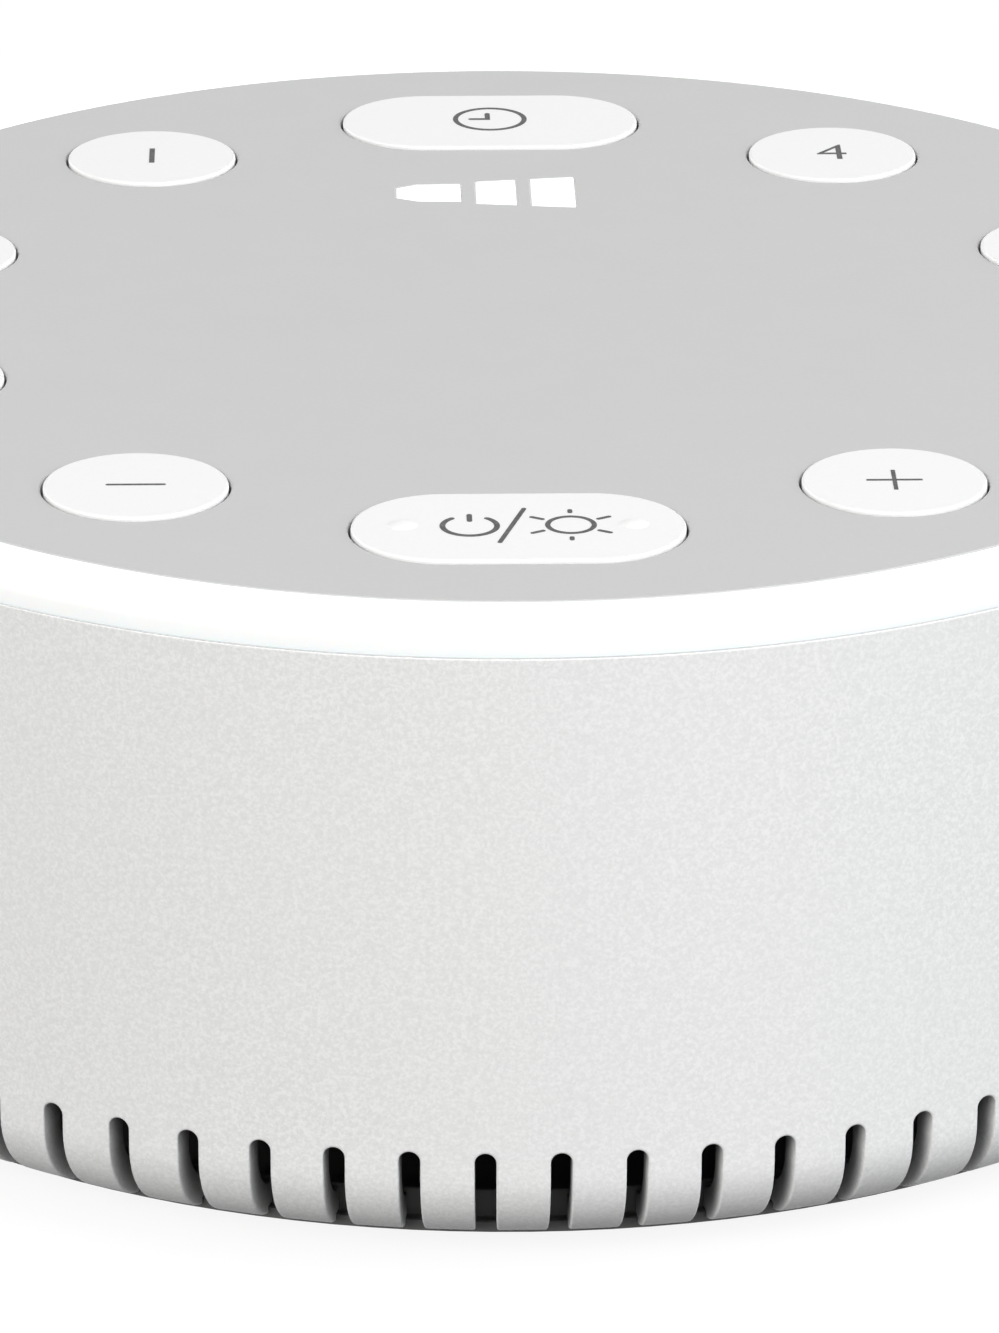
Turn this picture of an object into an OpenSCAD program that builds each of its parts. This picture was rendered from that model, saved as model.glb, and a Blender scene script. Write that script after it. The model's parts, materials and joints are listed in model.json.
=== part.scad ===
// Round bedside sound machine: a slotted sleeve with a glowing ring round its top edge, a grey key
// panel with ten keys, and a loudspeaker that fires down at a base with slots all round it.
// Millimetres, +Z up. The origin is at the centre of the footprint, on the surface it stands on.
// The keys' front side faces -Y, the power inlet faces +Y.

/* [Body] */
// Outer diameter of the body
body_d = 136; // [122:1:170]
// Height from the sleeve's underside to the top panel
body_h = 50; // [45:1:80]
// Wall of the sleeve
wall_t = 2.4; // [1.8:0.1:3.2]
// Radius of the sleeve's rounded bottom edge
bottom_r = 5.4; // [4:0.1:7]
// Width of the sleeve's turned-in lip that is left past the rounding
lip_reach = 0.35; // [0.3:0.05:0.6]
// Gap all round between parts that nest in each other
nest_gap = 0.15; // [0.1:0.05:0.25]

/* [Slots] */
// Number of sound slots round the bottom edge
slot_count = 76; // [48:4:88]
// Width of a slot
slot_w = 1.6; // [1.2:0.1:2]
// Height of a slot's round end above the sleeve's underside
slot_top = 8.4; // [7:0.1:10]

/* [Light ring] */
// Width of the ring as seen from above
ring_band = 5; // [4:0.1:7]
// Height of the ring as seen from the side
ring_h = 2.5; // [2:0.1:5]
// Rounding of the ring's upper outer edge
ring_edge_r = 1.4; // [0.5:0.1:1.8]
// Thickness of the lip that reaches down inside the sleeve
ring_lip_t = 2.2; // [1.6:0.1:2.4]
// Depth of that lip below the sleeve's mouth
ring_lip_h = 8.5; // [7:0.1:10]
// Width of the ledge that carries the top panel
ring_ledge_w = 2.4; // [1.8:0.1:3]
// Thickness of that ledge
ring_ledge_t = 1.6; // [1.2:0.1:2.2]

/* [Top panel] */
// Thickness of the panel
panel_t = 2.2; // [1.8:0.1:2.8]
// Distance from the panel's underside to the control board
board_drop = 9.35; // [9:0.05:11]
// Diameter of the posts that clamp the top to the pillars
post_d = 7; // [6.4:0.1:8]
// Diameter of the bosses that hold the control board
boss_d = 6; // [5:0.1:7]
// Distance from the keys' flanges inwards to those bosses
boss_gap = 4.1; // [3:0.1:6]

/* [Keys] */
// Distance from the panel's edge inwards to the keys
key_margin = 7.8; // [6.5:0.1:9]
// Diameter of a round key, and depth of a long one
key_d = 13.9; // [13:0.1:14.4]
// Length of the two long keys
key_long = 24.8; // [22:0.1:26]
// Gap between a key and its opening
key_gap = 0.2; // [0.15:0.05:0.3]
// Height of the keys above the panel
key_proud = 0.25; // [0:0.05:1]
// Rounding of a key's upper edge
key_edge_r = 0.35; // [0.2:0.05:0.8]
// Width of the flange that holds a key in
key_flange_w = 1.2; // [0.8:0.1:1.5]
// Thickness of that flange
key_flange_t = 1.2; // [0.8:0.1:1.6]
// Travel of a key
key_travel = 0.5; // [0.3:0.05:0.6]
// Diameter of a key's stem
stem_d = 4.6; // [3.8:0.1:6]

/* [Key switches] */
// Width of a switch's square body
switch_w = 6; // [5.6:0.1:7]
// Height of a switch's body
switch_h = 3.5; // [3:0.1:4]
// Diameter of a switch's plunger
plunger_d = 3.5; // [3:0.1:3.8]
// Height of the plunger above the switch's body
plunger_rise = 1.5; // [1.2:0.1:2]
// Length of the plunger that is guided in the body
plunger_guide = 1.6; // [1.2:0.1:1.8]
// Running gap round the plunger
plunger_gap = 0.05; // [0.03:0.01:0.08]

/* [Timer lights] */
// Distance from the timer key to the middle of the row of timer lights
bars_gap = 11.4; // [8:0.1:13]
// Gap between a timer light and its opening
bar_gap = 0.1; // [0.05:0.05:0.2]
// Thickness of the plate that joins the three lights under the panel
bar_plate_t = 1; // [0.8:0.1:1.4]
// Width of that plate's edge round the lights
bar_plate_edge = 0.9; // [0.6:0.1:1.2]

/* [Control board] */
// Thickness of the circuit boards
board_t = 1.6; // [1:0.1:2]
// Number of night-light lamps round the control board
lamp_count = 20; // [12:4:28]
// Gap between the control board's edge and the light ring's lip
board_edge_gap = 2.85; // [2:0.05:4]

/* [Base] */
// Thickness of the base plate
base_t = 2.5; // [2.2:0.1:3.4]
// Depth by which the base plate shows below the sleeve
base_proud = 0.35; // [0.2:0.05:0.8]
// Height of the base's upstanding rim above the sleeve's underside
base_rim_h = 2.8; // [2.4:0.1:5]
// Overlap of the base's flange under the sleeve's lip
base_flange_w = 0.9; // [0.6:0.05:1.1]
// Height to which the flange is let into the sleeve's lip
base_flange_in = 0.6; // [0.4:0.05:0.9]
// Height of the cone that spreads the sound
spreader_h = 4; // [2:0.1:5]
// Radius of that cone's foot
spreader_r = 25; // [18:1:30]
// Diameter of a rubber foot
foot_d = 12.6; // [10:0.1:14]
// Height of a foot below the base plate
foot_h = 1.2; // [0.8:0.1:3]
// Depth of the recess that a foot is glued into
foot_recess = 0.8; // [0.6:0.1:1]
// Distance from the base's rim inwards to the feet, which cover the base screws
foot_inset = 5.8; // [4:0.1:8]

/* [Speaker] */
// Thickness of the baffle that carries the speaker
baffle_t = 2.5; // [2:0.1:3.5]
// Outer diameter of the speaker's flange
speaker_d = 71; // [69:0.5:72]
// Radius of the baffle's opening in front of the speaker
speaker_open_r = 30; // [29.6:0.1:30.4]
// Gap between the speaker's back and the control board
speaker_clear = 2.3; // [1:0.1:4]
// Thickness of the basket's steel
basket_t = 1.2; // [0.8:0.1:1.4]
// Radius of the magnet
magnet_r = 21; // [18:0.5:24]
// Thickness of the magnet
magnet_t = 5; // [4:0.5:6]
// Radius of the voice coil's tube
coil_r = 8; // [7:0.1:8.6]
// Travel of the cone to each side
cone_travel = 1; // [0.5:0.1:1.5]

/* [Power inlet] */
// Height of the power board above the baffle
power_board_rise = 2.5; // [2.2:0.1:4]
// Diameter of the socket's barrel
inlet_barrel_d = 8.2; // [7.6:0.1:9]
// Bore of the socket
inlet_bore_d = 5.6; // [5.5:0.1:6.6]
// Depth of the bore
inlet_bore_depth = 9.5; // [8:0.5:11]
// Diameter of the centre pin
inlet_pin_d = 2; // [1.6:0.1:2.5]
// Depth of the barrel's face behind the sleeve's surface
inlet_inset = 0.6; // [0.4:0.1:1]

/* [Screws] */
// Diameter of the screws that close the case
case_screw_d = 3; // [2.6:0.1:3.2]
// Diameter of the screws that hold the boards and the speaker
small_screw_d = 2.2; // [2:0.1:2.4]
// Gap all round a screw in its hole
screw_gap = 0.05; // [0.03:0.01:0.1]
// Gap all round a screw where it passes through freely
screw_pass_gap = 0.25; // [0.15:0.05:0.3]

/* [Hidden] */
$fn = 96;
EPS = 0.01;

// Names of the ten keys, counter-clockwise from the back
KEYS = [
    "timer_button", "sound_button_1", "sound_button_2", "sound_button_3", "volume_down_button",
    "power_button", "volume_up_button", "sound_button_6", "sound_button_5", "sound_button_4"
];
LONG_KEYS = ["timer_button", "power_button"];
key_count = len(KEYS);

// Colours
WHITE = [0.98, 0.98, 0.98];
SILVER = [0.88, 0.88, 0.88];
PANEL_GREY = [0.81, 0.81, 0.81];
DARK_GREY = [0.2, 0.2, 0.2];
RUBBER = [0.12, 0.12, 0.12];
BOARD_GREEN = [0.1, 0.35, 0.2];
BLACK = [0.08, 0.08, 0.08];
STEEL = [0.7, 0.7, 0.72];
COPPER = [0.72, 0.42, 0.25];
PAPER = [0.25, 0.25, 0.27];

// Radii, from the outside in
body_r = body_d / 2;
bore_r = body_r - wall_t;
panel_r = body_r - ring_band;
lip_r = body_r - bottom_r - lip_reach;
rim_r = lip_r - nest_gap;
ring_lip_out_r = bore_r - nest_gap;
ring_lip_in_r = ring_lip_out_r - ring_lip_t;
ledge_r = panel_r - ring_ledge_w;
control_board_r = ring_lip_in_r - board_edge_gap;
inner_gap = 0.3;
baffle_r = bore_r - inner_gap;
base_rim_t = 1.6;
base_flange_r = lip_r + base_flange_w;
post_circle_r = ledge_r - inner_gap - post_d / 2;
key_circle_r = panel_r - key_margin - key_d / 2;
boss_circle_r = key_circle_r - key_d / 2 - key_flange_w - boss_gap - boss_d / 2;
foot_circle_r = rim_r - foot_inset - foot_d / 2;
bars_y = key_circle_r - key_d / 2 - bars_gap;

// Heights, from the surface that it stands on
base_z = foot_h;
under_z = base_z + base_proud;
top_z = under_z + body_h;
mouth_z = top_z - ring_h;
panel_z = top_z - panel_t;
board_z = panel_z - board_drop;
board_under_z = board_z - board_t;
base_top_z = base_z + base_t;
base_flange_top_gap = 0.05;
slot_clear = 0.55;
baffle_z = under_z + slot_top + slot_clear;
baffle_top_z = baffle_z + baffle_t;

// Keys
key_step = 360 / key_count;
function key_angle(k) = 90 + key_step * k;
function key_place(k) = key_circle_r * [cos(key_angle(k)), sin(key_angle(k)), 0];
function key_is_long(k) = len([for (name = LONG_KEYS) if (name == KEYS[k]) name]) > 0;
key_seat_gap = 0.05;
flange_top_z = panel_z - key_seat_gap;
flange_z = flange_top_z - key_flange_t;
switch_top_z = board_z + switch_h;
plunger_top_z = switch_top_z + plunger_rise;

// Outline of the row of timer lights: distance from the row's centre, then half of its depth
BAR_PROFILE = [[-8.1, 0.8], [-6.6, 2.2], [-2.8, 2.25], [-1.55, 2.8], [6.6, 3.9]];
BAR_SPANS = [[-8.1, -2.8], [-1.55, 1.75], [3, 6.6]];
bar_front = max([for (p = BAR_PROFILE) p[1]]);

// Surface-mounted lamps: across, along and up
lamp_size = [2.8, 3.5, 1.9];
lamp_inset = 0.4;
lamp_post_angle = 7;
lamp_seat_gap = 0.4;

// Screws: the head's diameter and height follow the shank
function head_d(d) = 1.85 * d;
function head_h(d) = 0.65 * d;
screw_bite = 7;
small_screw_bite = 4.5;
screw_end_gap = 0.4;
bore_spare = 1;

// Fixed parts of the posts and pillars
pillar_wall = 1.5;
pillar_bore_d = head_d(case_screw_d) + 0.9;
pillar_d = pillar_bore_d + 2 * pillar_wall;
pillar_web = 3;
POST_ANGLES = [key_step, 180 - key_step, 180 + key_step, 360 - key_step];
BOSS_ANGLES = [for (a = [0 : 60 : 300]) a];
FOOT_ANGLES = [for (a = [45 : 90 : 315]) a];
LAMP_ANGLES = [for (k = [0 : lamp_count - 1])
    let (a = (k + 0.5) * 360 / lamp_count)
    if (min([for (post = POST_ANGLES) abs(a - post)]) > lamp_post_angle) a];

// Base screws: a pocket for the head above each foot, and a boss on either side of the joint
base_boss_d = 11;
base_boss_h = 2.8;
base_boss_top_z = base_top_z + base_boss_h;
head_clear = 0.5;
head_pocket_d = head_d(case_screw_d) + 0.8;
head_seat_z = base_z + foot_recess + head_clear + head_h(case_screw_d);
baffle_boss_d = 8;
base_screw_bite = baffle_top_z - base_boss_top_z - 1.2;
foot_edge_r = 0.5;

// Speaker, from its front face upwards
gasket_t = 1;
surround_t = 0.4;
speaker_z = baffle_top_z + gasket_t;
flange_under_z = speaker_z + surround_t;
front_plate_t = 2.5;
yoke_t = 2;
yoke_z = board_under_z - speaker_clear - yoke_t;
magnet_z = yoke_z - magnet_t;
front_plate_z = magnet_z - front_plate_t;
basket_back_z = front_plate_z - basket_t;
speaker_flange_in_r = speaker_open_r - 0.5;
speaker_screw_r = (speaker_open_r + speaker_d / 2) / 2;
basket_neck_r = magnet_r - 1;
coil_gap = 0.4;
coil_wall = 0.3;
winding_t = 0.35;
pole_r = coil_r - coil_wall - coil_gap;
front_plate_in_r = coil_r + winding_t + coil_gap;
cone_edge_r = 25;
cone_rim_w = 1.6;
cone_t = 0.5;
glue_gap = 0.02;
spider_drop = 2.6;
spider_z = basket_back_z - spider_drop;
spider_t = 0.35;
cone_spider_gap = 0.5;
cone_neck_z = spider_z - cone_spider_gap - cone_t;
cone_depth = cone_neck_z - speaker_z;
spider_r = basket_neck_r - 1.5;

// Power inlet
power_board_z = baffle_top_z + power_board_rise;
power_board_top_z = power_board_z + board_t;
inlet_block = [9, 12, 11];
inlet_z = power_board_top_z + inlet_block[2] / 2;
inlet_face_y = body_r - inlet_inset;
inlet_block_y = bore_r - 3.6;
inlet_pin_root_d = 2.6;
inlet_pin_root = 3;
inlet_pin_inset = 2;
power_board_y = [speaker_d / 2 + 1.5, inlet_block_y - 1];
power_board_w = 30;
power_screw_x = 12;
power_screw_inset = 4;
power_screw_place = [power_screw_x, power_board_y[0] + power_screw_inset];

// Sockets of the internal leads, each with the place of its lower face's centre
socket_size = [8, 5, 6];
socket_edge_gap = 0.5;
socket_boss_gap = 2.5;
power_lead_lean = 5;
POWER_SOCKET = [0, power_board_y[0] + socket_edge_gap + socket_size[1] / 2, power_board_top_z];
BOARD_POWER_SOCKET = [0, POWER_SOCKET[1] + power_lead_lean, board_under_z - socket_size[2]];
BOARD_SPEAKER_SOCKET = [-boss_circle_r - socket_boss_gap - socket_size[1] / 2, 0,
                        board_under_z - socket_size[2]];
terminal_place = [-speaker_screw_r, 0, flange_under_z + basket_t];
terminal_size = [3, 10, 1];
lead_d = 1.3;
lead_pitch = 2.5;
power_lead_bow = 4;
speaker_lead_bow = 5;
lead_sides = 8;
lead_rings = 14;

// Chips and larger components, with their places
chip_y = 4;
side_chip_x = 15;
control_chip_size = [10, 7.5, 1.6];
memory_chip_size = [5, 4, 1.5];
amplifier_chip_size = [6, 4.4, 1.2];
chip_leg = [0.4, 0.9, 0.2];
capacitor_d = 8;
capacitor_h = 12;
capacitor_inset = 7;
capacitor_place = [-9.8, inlet_block_y - capacitor_inset];
regulator_size = [6.5, 6, 2.3];
regulator_inset = 10;
regulator_place = [6.6, inlet_block_y - regulator_inset];

// Outline of key number k, grown all round
module key_outline(k, grow = 0) {
    long = key_is_long(k) ? key_long - key_d : 0;
    r = key_d / 2 + grow;
    for (side = long > 0 ? [-1, 1] : [0]) translate([side * long / 2, 0]) circle(r);
    if (long > 0) square([long, 2 * r], center = true);
}

// Upper right quarter of a disc
module quarter(r) {
    intersection() {
        circle(r);
        square(r);
    }
}

// Half of the section of a disc with a rounded upper edge
module rounded_half_section(r, h, edge) {
    square([r - edge, h]);
    square([r, h - edge]);
    translate([r - edge, h - edge]) quarter(edge);
}

// Solid on key number k's outline with a rounded upper edge
module key_block(k, h, edge) {
    long = key_is_long(k) ? key_long - key_d : 0;
    for (side = long > 0 ? [-1, 1] : [0])
        translate([side * long / 2, 0, 0])
            rotate_extrude() rounded_half_section(key_d / 2, h, edge);
    if (long > 0)
        rotate([90, 0, 90])
            linear_extrude(long, center = true)
                for (side = [0, 1]) mirror([side, 0]) rounded_half_section(key_d / 2, h, edge);
}

// Openings or lights of the timer row, grown all round
module timer_bars(grow = 0) {
    for (span = BAR_SPANS) {
        knees = [for (p = BAR_PROFILE) if (p[0] > span[0] && p[0] < span[1]) p[0]];
        xs = concat([span[0]], knees, [span[1]]);
        last = len(xs) - 1;
        wide = [for (i = [0 : last]) xs[i] + (i == 0 ? -grow : i == last ? grow : 0)];
        upper = [for (i = [0 : last]) [wide[i], lookup(xs[i], BAR_PROFILE) + grow]];
        lower = [for (i = [last : -1 : 0]) [wide[i], -lookup(xs[i], BAR_PROFILE) - grow]];
        polygon(concat(upper, lower));
    }
}

// Pan-head screw along +Z: the head's top, next to the work, is at z = 0
module screw(d, length) {
    translate([0, 0, -head_h(d)]) cylinder(h = head_h(d), d = head_d(d));
    translate([0, 0, -EPS]) cylinder(h = length + EPS, d = d);
}

// Copies its children at the given angles on a circle
module around(r, angles) {
    for (a = angles) rotate([0, 0, a]) translate([r, 0, 0]) children();
}

// Tube that is swept through a list of points which all climb in Z
module lead(path, d) {
    last = len(path) - 1;
    points = [for (p = path) for (s = [0 : lead_sides - 1])
        p + d / 2 * [cos(360 / lead_sides * s), sin(360 / lead_sides * s), 0]];
    sides = [for (i = [0 : last - 1]) for (s = [0 : lead_sides - 1])
        let (a = i * lead_sides + s, b = i * lead_sides + (s + 1) % lead_sides)
        each [[a, a + lead_sides, b + lead_sides], [a, b + lead_sides, b]]];
    foot = [for (s = [0 : lead_sides - 1]) s];
    top = [for (s = [lead_sides - 1 : -1 : 0]) last * lead_sides + s];
    polyhedron(points, concat(sides, [foot], [top]));
}

// Points from one place up to another, bowed out sideways in between
function lead_path(from, to, bow) = [for (i = [0 : lead_rings])
    let (t = i / lead_rings)
    from + (to - from) * t + bow * pow(sin(180 * t), 2)];

// Sleeve with its turned-in lip, the sound slots and the hole for the power socket
module housing() {
    color(SILVER)
    difference() {
        rotate_extrude()
            difference() {
                union() {
                    translate([lip_r, under_z]) square([lip_reach, wall_t]);
                    translate([bore_r, under_z + bottom_r]) square([wall_t, mouth_z - under_z - bottom_r]);
                    translate([body_r - bottom_r, under_z + bottom_r])
                        mirror([0, 1])
                            difference() {
                                quarter(bottom_r);
                                circle(bottom_r - wall_t);
                            }
                }
                // step that takes the base's flange
                translate([0, under_z - EPS])
                    square([base_flange_r + EPS, base_flange_in + base_flange_top_gap + EPS]);
            }
        around(0, [for (k = [0 : slot_count - 1]) 90 + (k + 0.5) * 360 / slot_count]) slot_cutter();
        translate([0, body_r + EPS, inlet_z])
            rotate([90, 0, 0]) cylinder(h = wall_t + bottom_r, d = inlet_barrel_d + 2 * screw_pass_gap);
    }
}

// Tool for one slot, along +X
module slot_cutter() {
    depth = bottom_r + lip_reach + 2;
    translate([body_r + 1 - depth, 0, under_z])
        rotate([90, 0, 90])
            linear_extrude(depth) {
                translate([-slot_w / 2, -1]) square([slot_w, slot_top + 1 - slot_w / 2]);
                translate([0, slot_top - slot_w / 2]) circle(d = slot_w);
            }
}

// Diffuser ring: the band that glows, a lip inside the sleeve and a ledge under the top panel
module light_ring() {
    color(WHITE)
    rotate_extrude() {
        translate([panel_r, mouth_z]) {
            square([ring_band - ring_edge_r, ring_h]);
            square([ring_band, ring_h - ring_edge_r]);
            translate([ring_band - ring_edge_r, ring_h - ring_edge_r]) quarter(ring_edge_r);
        }
        translate([ring_lip_in_r, mouth_z - ring_lip_h])
            square([ring_lip_t, ring_lip_h + EPS]);
        translate([ledge_r, panel_z - ring_ledge_t])
            square([ring_lip_out_r - ledge_r, ring_ledge_t]);
    }
}

// Key panel with its openings, the posts to the pillars and the bosses for the control board
module top_panel() {
    color(PANEL_GREY)
    difference() {
        union() {
            translate([0, 0, panel_z])
                linear_extrude(panel_t)
                    difference() {
                        circle(panel_r - nest_gap);
                        for (k = [0 : key_count - 1]) translate(key_place(k)) key_outline(k, key_gap);
                        translate([0, bars_y]) timer_bars(bar_gap);
                    }
            around(post_circle_r, POST_ANGLES)
                translate([0, 0, board_under_z]) cylinder(h = panel_z - board_under_z + EPS, d = post_d);
            around(boss_circle_r, BOSS_ANGLES)
                translate([0, 0, board_z]) cylinder(h = board_drop + EPS, d = boss_d);
        }
        around(post_circle_r, POST_ANGLES)
            translate([0, 0, board_under_z - EPS])
                cylinder(h = screw_bite + bore_spare, d = case_screw_d + 2 * screw_gap);
        around(boss_circle_r, BOSS_ANGLES)
            translate([0, 0, board_z - EPS])
                cylinder(h = small_screw_bite + bore_spare, d = small_screw_d + 2 * screw_gap);
    }
}

// Clear piece that carries the timer lamps' light up to the three openings
module timer_light_guide() {
    rod = [lamp_size[0], lamp_size[0], board_drop - lamp_size[2] - bar_plate_t - lamp_seat_gap];
    plate_x = [BAR_SPANS[0][0] - bar_plate_edge, BAR_SPANS[2][1] + bar_plate_edge];
    plate_y = bar_front + bar_plate_edge;
    color(WHITE)
    translate([0, bars_y, panel_z]) {
        translate([0, 0, -EPS]) linear_extrude(panel_t + EPS) timer_bars();
        translate([plate_x[0], -plate_y, -bar_plate_t])
            cube([plate_x[1] - plate_x[0], 2 * plate_y, bar_plate_t]);
        for (span = BAR_SPANS)
            translate([(span[0] + span[1]) / 2 - rod[0] / 2, -rod[1] / 2, -bar_plate_t - rod[2]])
                cube([rod[0], rod[1], rod[2] + EPS]);
    }
}

// Key cap number k with its flange and stem
module key_cap(k) {
    color(WHITE)
    translate(key_place(k)) {
        translate([0, 0, flange_z])
            key_block(k, top_z + key_proud - flange_z, key_edge_r);
        translate([0, 0, flange_z])
            linear_extrude(key_flange_t) key_outline(k, key_flange_w);
        translate([0, 0, plunger_top_z])
            cylinder(h = flange_z - plunger_top_z + EPS, d = stem_d);
    }
}

// Plunger of the switch under key number k
module switch_plunger(k) {
    color(BLACK)
    translate(key_place(k) + [0, 0, switch_top_z - plunger_guide])
        cylinder(h = plunger_guide + plunger_rise, d = plunger_d);
}

// Bodies of the ten key switches
module switch_bodies() {
    well = plunger_guide + key_travel + 0.2;
    color(BLACK)
    for (k = [0 : key_count - 1])
        translate(key_place(k) + [0, 0, board_z])
            difference() {
                translate([-switch_w / 2, -switch_w / 2, 0]) cube([switch_w, switch_w, switch_h]);
                translate([0, 0, switch_h - well])
                    cylinder(h = well + EPS, d = plunger_d + 2 * plunger_gap);
            }
}

// Round circuit board under the keys, notched for the posts
module control_board() {
    color(BOARD_GREEN)
    translate([0, 0, board_under_z])
        linear_extrude(board_t)
            difference() {
                circle(control_board_r);
                around(post_circle_r, POST_ANGLES) circle(d = post_d + 2 * inner_gap);
                around(boss_circle_r, BOSS_ANGLES) circle(d = small_screw_d + 2 * screw_pass_gap);
            }
}

// Screws that hold the control board to the panel's bosses
module board_screws() {
    color(STEEL)
    around(boss_circle_r, BOSS_ANGLES)
        translate([0, 0, board_under_z]) screw(small_screw_d, board_t + small_screw_bite);
}

// Lamps that shine outwards into the light ring
module night_light_lamps() {
    color(WHITE)
    around(control_board_r - lamp_inset - lamp_size[0], LAMP_ANGLES)
        translate([0, -lamp_size[1] / 2, board_z]) cube(lamp_size);
}

// Lamps under the timer lights
module timer_lamps() {
    color(WHITE)
    for (span = BAR_SPANS)
        translate([(span[0] + span[1] - lamp_size[0]) / 2, bars_y - lamp_size[1] / 2, board_z])
            cube(lamp_size);
}

// Chip with a row of legs on each long side, on the control board's upper face
module chip(place, size, legs) {
    pitch = size[0] / legs;
    color(BLACK)
    translate([place[0], place[1], board_z]) {
        translate([-size[0] / 2, -size[1] / 2, chip_leg[2] - EPS]) cube(size);
        for (side = [0, 1]) mirror([0, side, 0])
            for (i = [0 : legs - 1])
                translate([(i + 0.5) * pitch - size[0] / 2 - chip_leg[0] / 2, size[1] / 2 - EPS, 0])
                    cube([chip_leg[0], chip_leg[1] + EPS, 2 * chip_leg[2]]);
    }
}

module control_chip() { chip([0, chip_y], control_chip_size, 8); }
module memory_chip() { chip([side_chip_x, chip_y], memory_chip_size, 4); }
module amplifier_chip() { chip([-side_chip_x, chip_y], amplifier_chip_size, 4); }

// Sockets in which the internal leads end
module lead_sockets() {
    color(WHITE) {
        for (place = [POWER_SOCKET, BOARD_POWER_SOCKET])
            translate(place - [socket_size[0] / 2, socket_size[1] / 2, 0]) cube(socket_size);
        translate(BOARD_SPEAKER_SOCKET - [socket_size[1] / 2, socket_size[0] / 2, 0])
            cube([socket_size[1], socket_size[0], socket_size[2]]);
    }
}

// Pair of leads from the power board up to the control board
module power_leads() {
    color("firebrick")
    for (side = [-1, 1])
        lead(lead_path(POWER_SOCKET + [side * lead_pitch / 2, 0, socket_size[2]],
                       BOARD_POWER_SOCKET + [side * lead_pitch / 2, 0, 0],
                       [0, -power_lead_bow, 0]), lead_d);
}

// Pair of leads from the speaker's terminals up to the control board
module speaker_leads() {
    color(BLACK)
    for (side = [-1, 1])
        lead(lead_path(terminal_place + [0, side * lead_pitch / 2, terminal_size[2]],
                       BOARD_SPEAKER_SOCKET + [0, side * lead_pitch / 2, 0],
                       [-speaker_lead_bow, 0, 0]), lead_d);
}

// Plate across the body that carries the speaker, with pillars above it and bosses below it
module speaker_baffle() {
    pillar_top_z = board_under_z;
    color(BLACK)
    difference() {
        union() {
            translate([0, 0, baffle_z]) cylinder(h = baffle_t, r = baffle_r);
            around(post_circle_r, POST_ANGLES)
                translate([0, 0, baffle_top_z - EPS])
                    cylinder(h = pillar_top_z - baffle_top_z + EPS, d = pillar_d);
            around(foot_circle_r, FOOT_ANGLES)
                translate([0, 0, base_boss_top_z])
                    cylinder(h = baffle_z - base_boss_top_z + EPS, d = baffle_boss_d);
            for (side = [-1, 1])
                translate([side * power_screw_place[0], power_screw_place[1], baffle_top_z - EPS])
                    cylinder(h = power_board_rise + EPS, d = boss_d);
        }
        translate([0, 0, baffle_z - EPS]) cylinder(h = baffle_t + 2 * EPS, r = speaker_open_r);
        around(post_circle_r, POST_ANGLES) {
            translate([0, 0, baffle_z - EPS])
                cylinder(h = pillar_top_z - pillar_web - baffle_z + EPS, d = pillar_bore_d);
            translate([0, 0, pillar_top_z - pillar_web - EPS])
                cylinder(h = pillar_web + 2 * EPS, d = case_screw_d + 2 * screw_pass_gap);
        }
        around(foot_circle_r, FOOT_ANGLES)
            translate([0, 0, base_boss_top_z - EPS])
                cylinder(h = base_screw_bite + 0.5, d = case_screw_d + 2 * screw_gap);
        around(speaker_screw_r, FOOT_ANGLES)
            translate([0, 0, baffle_z - EPS])
                cylinder(h = baffle_t + 2 * EPS, d = small_screw_d + 2 * screw_gap);
        for (side = [-1, 1])
            translate([side * power_screw_place[0], power_screw_place[1], baffle_z + baffle_t / 2])
                cylinder(h = power_board_rise + baffle_t, d = small_screw_d + 2 * screw_gap);
    }
}

// Screws that pull the top panel's posts down on the pillars
module pillar_screws() {
    color(STEEL)
    around(post_circle_r, POST_ANGLES)
        translate([0, 0, board_under_z - pillar_web]) screw(case_screw_d, pillar_web + screw_bite);
}

// Foam ring between the baffle and the speaker
module speaker_gasket() {
    color(RUBBER)
    translate([0, 0, baffle_top_z])
        linear_extrude(gasket_t)
            difference() {
                circle(speaker_d / 2);
                circle(speaker_open_r);
                around(speaker_screw_r, FOOT_ANGLES) circle(d = small_screw_d + 2 * screw_pass_gap);
            }
}

// Pressed steel frame of the speaker, with six windows in its side
module speaker_basket() {
    side_top = basket_back_z - flange_under_z;
    knee = side_top * 0.4;
    out_r = speaker_flange_in_r + basket_t;
    window_w = 10;
    window_edge = 1;
    color(STEEL)
    translate([0, 0, flange_under_z])
        difference() {
            rotate_extrude() {
                translate([speaker_flange_in_r, 0])
                    square([speaker_d / 2 - speaker_flange_in_r, basket_t]);
                polygon([
                    [speaker_flange_in_r, 0], [out_r, 0], [out_r, knee],
                    [basket_neck_r, side_top + basket_t], [basket_neck_r - basket_t, side_top + basket_t],
                    [basket_neck_r - basket_t, side_top - EPS], [speaker_flange_in_r, knee]
                ]);
                translate([front_plate_in_r + 1.5, side_top])
                    square([basket_neck_r - front_plate_in_r - 1.5, basket_t]);
                translate([spider_r - basket_t, spider_z + spider_t - flange_under_z])
                    square([basket_t, side_top - spider_z - spider_t + flange_under_z + EPS]);
            }
            for (k = [0 : 5])
                rotate([0, 0, 60 * k])
                    translate([spider_r + basket_t, -window_w / 2, basket_t + window_edge])
                        cube([out_r, window_w, side_top - basket_t - 2 * window_edge]);
            around(speaker_screw_r, FOOT_ANGLES)
                translate([0, 0, -EPS])
                    cylinder(h = basket_t + 2 * EPS, d = small_screw_d + 2 * screw_pass_gap);
        }
}

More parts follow.
